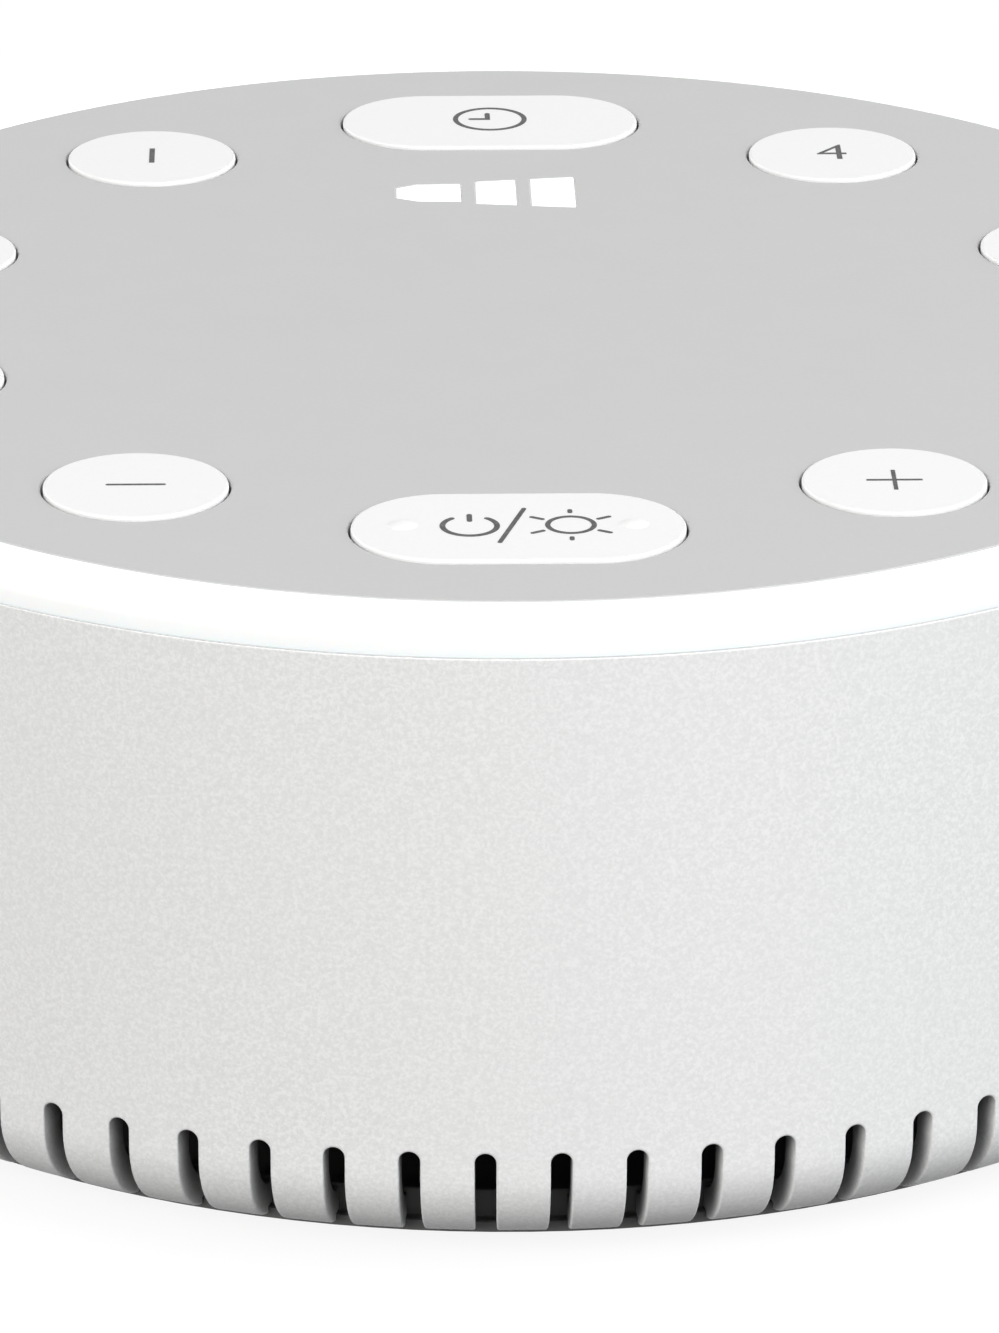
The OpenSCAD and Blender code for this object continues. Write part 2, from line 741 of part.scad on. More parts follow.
// Screws that hold the speaker to the baffle
module speaker_screws() {
    color(STEEL)
    around(speaker_screw_r, FOOT_ANGLES)
        translate([0, 0, flange_under_z + basket_t])
            rotate([180, 0, 0])
                screw(small_screw_d, basket_t + surround_t + gasket_t + baffle_t - screw_end_gap);
}

// Strip on the speaker's flange that the leads are soldered to
module speaker_terminals() {
    color(COPPER)
    translate(terminal_place - [terminal_size[0] / 2, terminal_size[1] / 2, 0]) cube(terminal_size);
}

// Rubber roll between the cone and the basket
module surround() {
    roll_r = (speaker_flange_in_r - cone_edge_r) / 2;
    roll_mid = cone_edge_r + roll_r;
    color(RUBBER)
    difference() {
        translate([0, 0, speaker_z])
            rotate_extrude() {
                translate([speaker_flange_in_r - surround_t, 0])
                    square([speaker_d / 2 - 1.5 - speaker_flange_in_r + surround_t, surround_t]);
                translate([cone_edge_r - cone_rim_w, 0]) square([cone_rim_w + surround_t, surround_t]);
                translate([roll_mid, surround_t])
                    intersection() {
                        difference() {
                            circle(roll_r);
                            circle(roll_r - surround_t);
                        }
                        translate([-roll_r, -roll_r]) square([2 * roll_r, roll_r]);
                    }
            }
        around(speaker_screw_r, FOOT_ANGLES)
            translate([0, 0, speaker_z - EPS])
                cylinder(h = surround_t + 2 * EPS, d = small_screw_d + 2 * screw_pass_gap);
    }
}

// Paper cone, which moves up and down with the voice coil and the dust cap
module speaker_cone() {
    edge_z = speaker_z + surround_t;
    neck_r = coil_r + glue_gap;
    color(PAPER)
    rotate_extrude()
        polygon([
            [cone_edge_r - cone_rim_w, edge_z], [cone_edge_r, edge_z], [cone_edge_r, edge_z + cone_t],
            [cone_edge_r - cone_rim_w + 0.2, edge_z + cone_t], [neck_r + cone_t, cone_neck_z + cone_t],
            [neck_r, cone_neck_z + cone_t], [neck_r, cone_neck_z]
        ]);
}

// Domed cap over the voice coil
module dust_cap() {
    cap_r = coil_r + 2;
    rise = 3;
    ball_r = (cap_r * cap_r + rise * rise) / (2 * rise);
    slope = (cone_depth - surround_t) / (cone_edge_r - cone_rim_w - coil_r - glue_gap);
    rim_z = cone_neck_z - (cap_r - coil_r - glue_gap) * slope - 0.15;
    color(PAPER)
    translate([0, 0, rim_z])
        rotate_extrude()
            intersection() {
                translate([0, ball_r - rise])
                    difference() {
                        circle(ball_r);
                        circle(ball_r - 0.4);
                    }
                translate([0, -rise]) square([cap_r, rise]);
            }
}

// Corrugated cloth disc that centres the voice coil
module spider() {
    waves = 3;
    in_r = coil_r + glue_gap;
    rim = 1.5;
    run = spider_r - rim - in_r - rim;
    depth = 0.5;
    samples = 24;
    wave = [for (i = [0 : samples])
        [in_r + rim + run * i / samples, -depth * (1 - cos(360 * waves * i / samples)) / 2]];
    low = concat([[in_r, 0]], wave, [[spider_r, 0]]);
    color("goldenrod")
    translate([0, 0, spider_z])
        rotate_extrude()
            polygon(concat(low, [for (i = [len(low) - 1 : -1 : 0]) low[i] + [0, spider_t]]));
}

// Coil on its tube, in the magnet's gap
module voice_coil() {
    foot_z = cone_neck_z - 0.8;
    head_z = magnet_z + 1.2;
    color(COPPER)
    rotate_extrude() {
        translate([coil_r - coil_wall, foot_z]) square([coil_wall, head_z - foot_z]);
        translate([coil_r - EPS, front_plate_z - 1])
            square([winding_t + EPS, head_z - front_plate_z + 1]);
    }
}

// Ring shared by the steel and magnet pieces
module plate_ring(out_r, in_r, h) {
    linear_extrude(h)
        difference() {
            circle(out_r);
            circle(in_r);
        }
}

module front_plate() {
    color(STEEL) translate([0, 0, front_plate_z]) plate_ring(magnet_r - 2, front_plate_in_r, front_plate_t);
}

module magnet() {
    color(PAPER) translate([0, 0, magnet_z]) plate_ring(magnet_r, front_plate_in_r + 2.5, magnet_t);
}

// Back plate and pole of the magnet
module yoke() {
    color(STEEL) {
        translate([0, 0, yoke_z]) cylinder(h = yoke_t, r = magnet_r - 2);
        translate([0, 0, front_plate_z]) cylinder(h = yoke_z - front_plate_z + EPS, r = pole_r);
    }
}

// Small circuit board at the back, behind the power socket
module power_board() {
    color(BOARD_GREEN)
    difference() {
        translate([-power_board_w / 2, power_board_y[0], power_board_z])
            cube([power_board_w, power_board_y[1] - power_board_y[0], board_t]);
        for (side = [-1, 1])
            translate([side * power_screw_place[0], power_screw_place[1], power_board_z - EPS])
                cylinder(h = board_t + 2 * EPS, d = small_screw_d + 2 * screw_pass_gap);
    }
}

module power_board_screws() {
    color(STEEL)
    for (side = [-1, 1])
        translate([side * power_screw_place[0], power_screw_place[1], power_board_top_z])
            rotate([180, 0, 0])
                screw(small_screw_d, board_t + power_board_rise + baffle_t / 2 - screw_end_gap);
}

// Power socket: a block on the power board, with a barrel that reaches into the sleeve's hole
module dc_socket() {
    color(BLACK)
    difference() {
        union() {
            translate([-inlet_block[0] / 2, inlet_block_y - inlet_block[1], power_board_top_z])
                cube(inlet_block);
            translate([0, inlet_face_y, inlet_z])
                rotate([90, 0, 0])
                    cylinder(h = inlet_face_y - inlet_block_y + EPS, d = inlet_barrel_d);
        }
        translate([0, inlet_face_y + EPS, inlet_z])
            rotate([90, 0, 0]) cylinder(h = inlet_bore_depth + EPS, d = inlet_bore_d);
        translate([0, inlet_face_y, inlet_z])
            rotate([90, 0, 0])
                cylinder(h = inlet_bore_depth + inlet_pin_root, d = inlet_pin_root_d + 2 * glue_gap);
    }
}

// Centre pin of the power socket: a thin end in the bore and a thicker root in the block
module dc_socket_pin() {
    color(STEEL)
    translate([0, inlet_face_y - inlet_bore_depth, inlet_z])
        rotate([90, 0, 0]) {
            cylinder(h = inlet_pin_root, d = inlet_pin_root_d);
            translate([0, 0, inlet_pin_inset - inlet_bore_depth])
                cylinder(h = inlet_bore_depth - inlet_pin_inset + EPS, d = inlet_pin_d);
        }
}

module smoothing_capacitor() {
    color(BLACK)
    translate([capacitor_place[0], capacitor_place[1], power_board_top_z])
        cylinder(h = capacitor_h, d = capacitor_d);
}

module voltage_regulator() {
    color(BLACK)
    translate([regulator_place[0], regulator_place[1], power_board_top_z]) cube(regulator_size);
}

// Base plate: flange under the sleeve's lip, upstanding rim, sound spreader and screw bosses
module base_cover() {
    color(DARK_GREY)
    difference() {
        union() {
            rotate_extrude() {
                translate([0, base_z]) square([rim_r, base_t]);
                translate([0, base_z]) square([base_flange_r - nest_gap, base_proud + base_flange_in]);
                translate([rim_r - base_rim_t, base_z])
                    square([base_rim_t, base_proud + base_rim_h]);
                polygon([
                    [0, base_top_z - EPS], [spreader_r, base_top_z - EPS],
                    [spreader_r * 0.45, base_top_z + spreader_h * 0.4], [4, base_top_z + spreader_h],
                    [0, base_top_z + spreader_h]
                ]);
            }
            around(foot_circle_r, FOOT_ANGLES)
                translate([0, 0, base_top_z - EPS])
                    cylinder(h = base_boss_top_z - base_top_z + EPS, d = base_boss_d);
        }
        around(foot_circle_r, FOOT_ANGLES) {
            translate([0, 0, base_z - EPS]) cylinder(h = foot_recess + EPS, d = foot_d + 2 * nest_gap);
            translate([0, 0, base_z]) {
                cylinder(h = head_seat_z - base_z, d = head_pocket_d);
                cylinder(h = base_boss_top_z, d = case_screw_d + 2 * screw_pass_gap);
            }
        }
    }
}

// Screws up through the base into the baffle's bosses, hidden by the feet
module base_screws() {
    color(STEEL)
    around(foot_circle_r, FOOT_ANGLES)
        translate([0, 0, head_seat_z]) screw(case_screw_d, base_boss_top_z - head_seat_z + base_screw_bite);
}

// Rubber feet
module rubber_feet() {
    color(RUBBER)
    around(foot_circle_r, FOOT_ANGLES)
        translate([0, 0, foot_h + foot_recess])
            mirror([0, 0, 1])
                rotate_extrude() rounded_half_section(foot_d / 2, foot_h + foot_recess, foot_edge_r);
}

housing();
light_ring();
top_panel();
timer_light_guide();
for (k = [0 : key_count - 1]) key_cap(k);
for (k = [0 : key_count - 1])
    switch_plunger(k);
switch_bodies();
control_board();
board_screws();
night_light_lamps();
timer_lamps();
control_chip();
memory_chip();
amplifier_chip();
lead_sockets();
power_leads();
speaker_leads();
speaker_baffle();
pillar_screws();
speaker_gasket();
speaker_basket();
speaker_screws();
speaker_terminals();
surround();
speaker_cone();
dust_cap();
spider();
voice_coil();
front_plate();
magnet();
yoke();
power_board();
power_board_screws();
dc_socket();
dc_socket_pin();
smoothing_capacitor();
voltage_regulator();
base_cover();
base_screws();
rubber_feet();
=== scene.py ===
"""Looks of a round bedside sound machine: slotted sleeve, night-light ring, key panel and ten keys.

Lengths are in millimetres until a mesh is made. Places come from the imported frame.
"""
import json
import math

import bmesh
import bpy
from mathutils import Matrix, Vector


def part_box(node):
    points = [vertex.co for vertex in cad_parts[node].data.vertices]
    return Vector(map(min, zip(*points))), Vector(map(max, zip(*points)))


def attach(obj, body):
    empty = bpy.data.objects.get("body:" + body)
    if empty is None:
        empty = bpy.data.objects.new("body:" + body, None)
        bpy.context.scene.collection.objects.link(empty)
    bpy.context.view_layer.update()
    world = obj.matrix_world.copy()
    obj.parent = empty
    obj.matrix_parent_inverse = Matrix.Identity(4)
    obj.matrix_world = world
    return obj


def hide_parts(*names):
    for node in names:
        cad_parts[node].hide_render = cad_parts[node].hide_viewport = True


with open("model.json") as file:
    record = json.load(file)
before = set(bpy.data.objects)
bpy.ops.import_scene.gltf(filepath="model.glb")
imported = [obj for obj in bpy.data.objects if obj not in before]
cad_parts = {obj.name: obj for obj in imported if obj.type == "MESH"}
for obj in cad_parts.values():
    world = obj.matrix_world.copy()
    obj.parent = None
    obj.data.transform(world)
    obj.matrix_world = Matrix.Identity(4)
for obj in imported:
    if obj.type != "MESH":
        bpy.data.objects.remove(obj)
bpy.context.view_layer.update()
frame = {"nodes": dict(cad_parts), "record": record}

MM = 0.001
MERGE = 0.001  # points closer than this are one point


def box_mm(node):
    """Lowest and highest corner of a CAD node, in millimetres."""
    low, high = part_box(node)
    return low / MM, high / MM


# ---- sizes

RING_LOW, RING_HIGH = box_mm("light_ring")
PANEL_HIGH = box_mm("top_panel")[1]
SLEEVE_HIGH = box_mm("housing")[1]
INLET_LOW, INLET_HIGH = box_mm("dc_socket")
GUIDE_LOW, GUIDE_HIGH = box_mm("timer_light_guide")
BOARD_LOW, BOARD_HIGH = box_mm("control_board")

BODY_R = RING_HIGH.x
TOP_Z = RING_HIGH.z
MOUTH_Z = SLEEVE_HIGH.z
UNDER_Z = 1.55          # the sleeve's underside
WALL = 2.4
SLEEVE_IN_R = BODY_R - WALL
WALL_ROWS = (17, 30)    # heights at which the plain wall is divided
BOTTOM_R = 6.2          # rounding of the sleeve's bottom edge
LIP_IN_R = 62.25        # inner edge of the sleeve's turned-in lip
LIP_FLAT = 0.35         # width of the flat on top of the lip
STEP_R = 63.16          # step in the lip that takes the base's flange
STEP_Z = UNDER_Z + 0.65
INLET_R = 4.35          # hole for the power socket
INLET_CHAMFER = 0.5

SLOTS = 76
HALF_PITCH = math.pi / SLOTS
SLOT_HALF = 0.8         # half of a slot's width
SLOT_TOP_Z = UNDER_Z + 8.4
SLOT_MID_Z = SLOT_TOP_Z - SLOT_HALF  # where a slot's round end starts
SECTOR_TOP_Z = SLOT_MID_Z + HALF_PITCH * BODY_R  # where the plain wall starts
SECTOR_ROWS = 8         # divisions of the wall over one slot
EDGE = 0.16             # softness of a slot's edge
FINE_EDGE = 0.12        # softness of the other moulded edges
SUPPORT = 0.06          # flat margin next to a soft edge

PANEL_Z = TOP_Z - 2.2   # the panel's underside
RING_IN_R = PANEL_HIGH.x + 0.15
RING_EDGE_R = 1.4
RING_LIP = (63.25, 65.45)  # radii of the lip that hangs inside the sleeve
RING_LEDGE_R = 60.6     # inner edge of the ledge that carries the panel
RING_LEDGE_Z = PANEL_Z - 1.6
ROUND_POINTS = 4 * SLOTS  # points round the ring and round the panel

# Posts under the panel: radius and angles of their circle, radii of a post and its bore, foot height
PANEL_POSTS = [(56.8, (36, 144, 216, 324), 3.5, 1.55, BOARD_LOW.z),
               (33, range(0, 360, 60), 3, 1.15, BOARD_HIGH.z)]
BORE_SHARE = 0.8        # share of a post's height that is bored

KEY_GAP = 0.2
KEY_EDGE = 0.2
CAP_H = 2.5             # from the flange to the top of a key
FLANGE_W = 1.2
FLANGE_T = 1.2
STEM_R = 2.3
BUMP_X, BUMP_Y = 8.55, 0.35  # finger bumps, from the middle of the power key
BUMP_R, BUMP_H = 1.15, 0.3
BUMP_SINK = 0.01        # how deep a bump's foot lies in the key
INK_T = 0.02            # thickness of the printed ink
INK_SINK = INK_T / 2    # how deep it reaches into the key
STROKE_END = 7          # points on the round end of an inked line
SIGN_REACH = 2.1        # half of the length of the minus and plus signs' lines
SIGN_LINE = 0.32
NUMBER_SIZE = 5.6
NUMBER_THINNING = 0.055  # taken off a number's outline on each side

# Row of timer lights: distance from the row's centre, then half of its depth
BAR_PROFILE = [(-8.1, 1.2), (-6.4, 2.1), (-2.8, 2.25), (-1.55, 2.8), (6.6, 3.9)]
BAR_SPANS = [(-8.1, -2.8), (-1.55, 1.75), (3.0, 6.6)]
BAR_CORNER = 0.22
BAR_GAP = 0.03
GUIDE_PLATE_T = 1       # plate that joins the bars
GUIDE_ROD = 1.4         # half of the width of the rod down to a lamp
GUIDE_CORNER = 0.3

# What each key shows
KEYS = {
    "timer_button": "clock", "sound_button_1": "1", "sound_button_2": "2", "sound_button_3": "3",
    "volume_down_button": "minus", "power_button": "power", "volume_up_button": "plus",
    "sound_button_6": "6", "sound_button_5": "5", "sound_button_4": "4",
}


# ---- meshes

def steps(first, last, count):
    """Evenly spaced values from first to last, both included."""
    return [first + (last - first) * i / count for i in range(count + 1)]


class Solid:
    """Points and faces of one piece, in millimetres."""

    def __init__(self):
        self.points = []
        self.faces = []

    def row(self, points):
        """Adds points and gives their numbers."""
        first = len(self.points)
        self.points += [tuple(p) for p in points]
        return list(range(first, len(self.points)))

    def strip(self, a, b, closed=False):
        """Faces between two rows of equal length."""
        count = len(a)
        for i in range(count if closed else count - 1):
            j = (i + 1) % count
            self.faces.append((a[i], a[j], b[j], b[i]))

    def stack(self, rows, closed=True):
        """Faces through rows of equal length."""
        for a, b in zip(rows, rows[1:]):
            self.strip(a, b, closed)

    def block(self, rows):
        """Body through closed rows, with a face over the first and the last."""
        self.stack(rows)
        self.faces += [tuple(rows[0]), tuple(rows[-1])]

    def fill(self, rows):
        """Flat face bounded by closed rows: the first is its outline and the others are holes."""
        bm = bmesh.new()
        made = {}
        for row in rows:
            corners = [bm.verts.new(self.points[i]) for i in row]
            made.update(zip(corners, row))
            for i, corner in enumerate(corners):
                bm.edges.new((corner, corners[(i + 1) % len(corners)]))
        bmesh.ops.triangle_fill(bm, use_beauty=True, edges=bm.edges[:])
        self.faces += [tuple(made[v] for v in face.verts) for face in bm.faces]
        bm.free()

    def mesh(self, name):
        mesh = bpy.data.meshes.new(name)
        mesh.from_pydata([Vector(p) * MM for p in self.points], [], self.faces)
        return mesh


def link(name, data):
    """New object in the scene."""
    made = bpy.data.objects.new(name, data)
    bpy.context.scene.collection.objects.link(made)
    return made


def tidy_mesh(mesh, sharp_deg=32):
    """Merges doubled points, turns the faces outward and shades smoothly up to the sharp edges."""
    bm = bmesh.new()
    bm.from_mesh(mesh)
    bmesh.ops.remove_doubles(bm, verts=bm.verts[:], dist=MERGE * MM)
    bmesh.ops.dissolve_degenerate(bm, edges=bm.edges[:], dist=MERGE * MM / 10)
    bmesh.ops.recalc_face_normals(bm, faces=bm.faces[:])
    for face in bm.faces:
        face.smooth = True
    for edge in bm.edges:
        edge.smooth = edge.is_manifold and edge.calc_face_angle(0) < math.radians(sharp_deg)
    bm.to_mesh(mesh)
    bm.free()


def plain(source, name):
    """Plain mesh object with the modifiers of source worked in; source is removed."""
    bpy.context.view_layer.update()
    seen = source.evaluated_get(bpy.context.evaluated_depsgraph_get())
    mesh = bpy.data.meshes.new_from_object(seen)
    old = source.data
    bpy.data.objects.remove(source)
    if isinstance(old, bpy.types.Mesh):
        bpy.data.meshes.remove(old)
    mesh.name = name
    return link(name, mesh)


def dress(obj, material, body="root", slot=None, replaces=()):
    """Gives a finished piece its material and its body, and hides the nodes that it stands for."""
    obj.data.materials.clear()
    obj.data.materials.append(MATERIALS[material])
    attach(obj, body)
    slot or material
    if replaces:
        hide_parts(*replaces)


def finish_piece(solid, name, material, sharp_deg=32, **dressing):
    """Makes a solid a finished piece."""
    made = link(name, solid.mesh(name))
    tidy_mesh(made.data, sharp_deg)
    dress(made, material, **dressing)


def circle(radius, count):
    """Points round a circle."""
    angles = [math.tau * i / count for i in range(count)]
    return [(radius * math.cos(a), radius * math.sin(a)) for a in angles]


def arc(centre, radius, first_deg, last_deg, count):
    """Points along an arc, both ends included."""
    angles = [math.radians(a) for a in steps(first_deg, last_deg, count)]
    return [(centre[0] + radius * math.cos(a), centre[1] + radius * math.sin(a)) for a in angles]


def quarter_round(radius, count):
    """Rounding between two faces: how far its points lie from the one and from the other."""
    return [(radius * (1 - math.cos(a)), radius * (1 - math.sin(a))) for a in steps(0, math.pi / 2, count)]


def moved(points, x, y):
    return [(x + px, y + py) for px, py in points]


def at(points, z):
    """Flat points at a height."""
    return [(x, y, z) for x, y in points]


def polar(radius, angle, z):
    """Point at a radius and an angle round the Z axis."""
    return (radius * math.cos(angle), radius * math.sin(angle), z)


def turned(profile, count):
    """Solid of revolution from a closed profile of (radius, height)."""
    made = Solid()
    rows = [made.row(at(circle(radius, count), z)) for radius, z in profile]
    made.stack(rows + rows[:1])
    return made


# ---- repeating with geometry nodes

def repeat_tree():
    """Node tree that repeats a piece round the Z axis, joins the copies and gives them a material."""
    tree = bpy.data.node_groups.new("repeat_round", "GeometryNodeTree")
    socket = tree.interface.new_socket
    socket("Geometry", in_out="INPUT", socket_type="NodeSocketGeometry")
    kinds = {"Copies": "Int", "First angle": "Float", "Merge distance": "Float", "Material": "Material"}
    inputs = {name: socket(name, in_out="INPUT", socket_type="NodeSocket" + kind)
              for name, kind in kinds.items()}
    socket("Geometry", in_out="OUTPUT", socket_type="NodeSocketGeometry")
    node = tree.nodes.new
    start, end = node("NodeGroupInput"), node("NodeGroupOutput")
    points, spread = node("GeometryNodePoints"), node("GeometryNodeInstanceOnPoints")
    index, share, turn = node("GeometryNodeInputIndex"), node("ShaderNodeMath"), node("ShaderNodeMath")
    pitch, angles = node("ShaderNodeMath"), node("ShaderNodeCombineXYZ")
    real, merge = node("GeometryNodeRealizeInstances"), node("GeometryNodeMergeByDistance")
    paint = node("GeometryNodeSetMaterial")
    pitch.operation, share.operation, turn.operation = "DIVIDE", "MULTIPLY", "ADD"
    pitch.inputs[0].default_value = math.tau
    wire = tree.links.new
    wire(start.outputs["Copies"], points.inputs["Count"])
    wire(start.outputs["Copies"], pitch.inputs[1])
    wire(index.outputs[0], share.inputs[0])
    wire(pitch.outputs[0], share.inputs[1])
    wire(share.outputs[0], turn.inputs[0])
    wire(start.outputs["First angle"], turn.inputs[1])
    wire(turn.outputs[0], angles.inputs["Z"])
    wire(points.outputs[0], spread.inputs["Points"])
    wire(start.outputs["Geometry"], spread.inputs["Instance"])
    wire(angles.outputs[0], spread.inputs["Rotation"])
    wire(spread.outputs[0], real.inputs[0])
    wire(real.outputs[0], merge.inputs["Geometry"])
    wire(start.outputs["Merge distance"], merge.inputs["Distance"])
    wire(merge.outputs[0], paint.inputs["Geometry"])
    wire(start.outputs["Material"], paint.inputs["Material"])
    wire(paint.outputs[0], end.inputs[0])
    return tree, {name: made.identifier for name, made in inputs.items()}


def repeated(solid, name, copies, first_deg, material):
    """Piece made of copies of a solid round the Z axis."""
    one = link(name + "_part", solid.mesh(name + "_part"))
    modifier = one.modifiers.new("repeat", "NODES")
    modifier.node_group = REPEAT
    modifier[REPEAT_INPUTS["Copies"]] = copies
    modifier[REPEAT_INPUTS["First angle"]] = math.radians(first_deg)
    modifier[REPEAT_INPUTS["Merge distance"]] = MERGE * MM
    modifier[REPEAT_INPUTS["Material"]] = MATERIALS[material]
    made = plain(one, name)
    tidy_mesh(made.data)
    return made


# ---- materials

WAVE_SCALE = 0.314      # scale at which a wave texture's bands are one unit apart


class Paint:
    """Material under construction: one Principled shader and the nodes that feed it."""

    def __init__(self, name, colour, roughness, **constants):
        self.material = bpy.data.materials.new(name)
        self.material.use_nodes = True
        self.tree = self.material.node_tree
        self.shader = self.tree.nodes["Principled BSDF"]
        self.colour = colour
        self.set("Base Color", (*colour, 1))
        self.set("Roughness", roughness)
        for key, value in constants.items():
            self.set(key.replace("_", " "), value)
        self.coordinates = self.node("ShaderNodeTexCoord").outputs["Object"]
        self.material.diffuse_color = (*colour, 1)

    def set(self, socket, value):
        self.shader.inputs[socket].default_value = value

    def node(self, kind, constants=None, **settings):
        """New node with its settings, and with constants on its sockets."""
        made = self.tree.nodes.new(kind)
        for key, value in settings.items():
            setattr(made, key, value)
        for socket, value in (constants or {}).items():
            made.inputs[socket].default_value = value
        return made

    def wire(self, source, target):
        self.tree.links.new(source, target)

    def noise(self, size, detail=2.0, roughness=0.5, stretch=(1, 1, 1)):
        """Noise whose grains are about size millimetres across."""
        made = self.node("ShaderNodeTexNoise",
                         {"Scale": 1 / (size * MM), "Detail": detail, "Roughness": roughness})
        source = self.coordinates
        if stretch != (1, 1, 1):
            mapping = self.node("ShaderNodeMapping", {"Scale": stretch})
            self.wire(source, mapping.inputs["Vector"])
            source = mapping.outputs[0]
        self.wire(source, made.inputs["Vector"])
        return made.outputs["Fac"]

    def cells(self, size):
        made = self.node("ShaderNodeTexVoronoi", {"Scale": 1 / (size * MM)})
        self.wire(self.coordinates, made.inputs["Vector"])
        return made.outputs["Distance"]

    def bands(self, size, axis="Z"):
        """Even bands across an axis, about size millimetres apart."""
        made = self.node("ShaderNodeTexWave", {"Scale": WAVE_SCALE / (size * MM)}, bands_direction=axis)
        self.wire(self.coordinates, made.inputs["Vector"])
        return made.outputs["Fac"]

    def span(self, source, low, high, start=0.3, end=0.7):
        """Spreads source from start..end to low..high."""
        made = self.node("ShaderNodeMapRange",
                         {"From Min": start, "From Max": end, "To Min": low, "To Max": high})
        self.wire(source, made.inputs["Value"])
        return made.outputs[0]

    def mottle(self, source, other, amount=1.0, start=0.3, end=0.7):
        """Blends the base colour with another one where source is high, over what is there."""
        mix = self.node("ShaderNodeMix", data_type="RGBA")
        share, under, over, result = mix.inputs[0], mix.inputs[6], mix.inputs[7], mix.outputs[2]
        socket = self.shader.inputs["Base Color"]
        if socket.is_linked:
            self.wire(socket.links[0].from_socket, under)
        else:
            under.default_value = (*self.colour, 1)
        over.default_value = (*other, 1)
        self.wire(self.span(source, 0, amount, start, end), share)
        self.wire(result, socket)

    def gloss(self, source, low, high):
        self.wire(self.span(source, low, high), self.shader.inputs["Roughness"])

    def bump(self, source, height, strength):
        """Relief of the given height in millimetres."""
        made = self.node("ShaderNodeBump", {"Distance": height * MM, "Strength": strength})
        self.wire(source, made.inputs["Height"])
        normal = self.shader.inputs["Normal"]
        if normal.is_linked:
            self.wire(normal.links[0].from_socket, made.inputs["Normal"])
        self.wire(made.outputs[0], normal)


def shade(colour, factor):
    return tuple(min(1.0, c * factor) for c in colour)


def grey(value):
    return (value, value, value)


def moulded(name, colour, roughness=0.5, grain=0.35, depth=0.008, **constants):
    """Moulded plastic with a fine spark-eroded grain and a faint unevenness of colour and gloss."""
    paint = Paint(name, colour, roughness, **constants)
    fine = paint.noise(grain, 3)
    paint.mottle(paint.noise(grain * 30, 2), shade(colour, 0.995))
    paint.mottle(fine, shade(colour, 0.98))
    paint.gloss(paint.noise(grain * 12, 3), roughness * 0.92, roughness * 1.08)
    paint.bump(fine, depth, 0.6)
    return paint.material


def sleeve_paint():
    """Satin silver-white lacquer with a fine sparkle, thinning out on the dark moulding in the slots, with
    painted shade deep in the slots.
    """
    base = (0.874, 0.877, 0.875)
    paint = Paint("sleeve_paint", base, 0.5, Specular_IOR_Level=0.4)
    flakes = paint.noise(0.36, 2, 0.7)
    paint.mottle(flakes, shade(base, 1.12), 1.0, 0.4, 0.6)
    paint.mottle(paint.noise(0.25, 1), shade(base, 0.92), 0.6, 0.4, 0.7)
    paint.mottle(paint.noise(28, 2), shade(base, 1.04), 0.3)
    # dark moulding and painted shade in the slots
    paint.mottle(slot_moulding_and_shade(paint), grey(0.03), 1.0, 0.04, 1.0)
    paint.gloss(paint.noise(0.4, 2), 0.44, 0.56)
    paint.bump(paint.noise(0.3, 3), 0.006, 0.5)
    return paint.material


def slot_moulding_and_shade(paint):
    """How dark a point in the slots is painted: dark moulding under thinning lacquer, plus painted shade
    deep in a slot and at its round end; 0 on the outer face, near 1 deep in a slot or at its end.
    """
    left_per_mm = 0.55  # left_per_mm = 0.55 # share of the lacquer's colour left after each millimetre of depth, giving way to dark moulding and painted shade
    end_height, end_rate = 3.0, 0.45  # millimetres of height that count, and as how much depth each

    def calc(operation, *values):
        made = paint.node("ShaderNodeMath", operation=operation)
        for socket, value in zip(made.inputs, values):
            if isinstance(value, (int, float)):
                socket.default_value = value
            else:
                paint.wire(value, socket)
        return made.outputs[0]

    split = paint.node("ShaderNodeSeparateXYZ")
    paint.wire(paint.coordinates, split.inputs[0])
    x, y, z = split.outputs
    radius = calc("SQRT", calc("ADD", calc("MULTIPLY", x, x), calc("MULTIPLY", y, y)))
    # depth below the outer face, measured in from the wall and, lower down, from the rounding
    beyond = calc("SUBTRACT", radius, (BODY_R - BOTTOM_R) * MM)
    under = calc("MINIMUM", calc("SUBTRACT", z, (UNDER_Z + BOTTOM_R) * MM), 0.0)
    square = calc("ADD", calc("MULTIPLY", beyond, beyond), calc("MULTIPLY", under, under))
    reach = calc("SQRT", square)
    depth = calc("SUBTRACT", BOTTOM_R, calc("DIVIDE", reach, MM))
    # painted shade at a slot's round end: height over the rounding adds to the depth
    above = calc("MAXIMUM", calc("SUBTRACT", calc("DIVIDE", z, MM), UNDER_Z + BOTTOM_R), 0.0)
    inside = calc("GREATER_THAN", depth, EDGE / 2)
    end_shade = calc("MULTIPLY", calc("MINIMUM", above, end_height), calc("MULTIPLY", inside, end_rate))
    return calc("SUBTRACT", 1.0, calc("POWER", left_per_mm, calc("ADD", depth, end_shade)))


def diffuser():
    """Milky plastic that carries the night light."""
    paint = Paint("diffuser", grey(0.93), 0.38, Subsurface_Weight=0.25, Subsurface_Scale=0.003,
                  Emission_Color=(1, 1, 0.995, 1), Emission_Strength=0.2)
    paint.mottle(paint.noise(9, 2), grey(0.915))
    paint.gloss(paint.noise(5, 3), 0.34, 0.42)
    paint.bump(paint.noise(0.5, 2), 0.004, 0.4)
    return paint.material


def clear_guide():
    """Clear plastic under the timer lights, frosted so that it glows evenly."""
    paint = Paint("clear_guide", grey(0.94), 0.3, Subsurface_Weight=0.2, Subsurface_Scale=0.002,
                  Emission_Color=(1, 1, 1, 1), Emission_Strength=0.35)
    paint.mottle(paint.noise(3, 2), grey(0.92))
    paint.gloss(paint.noise(2, 3), 0.26, 0.34)
    paint.bump(paint.noise(0.4, 2), 0.003, 0.4)
    return paint.material


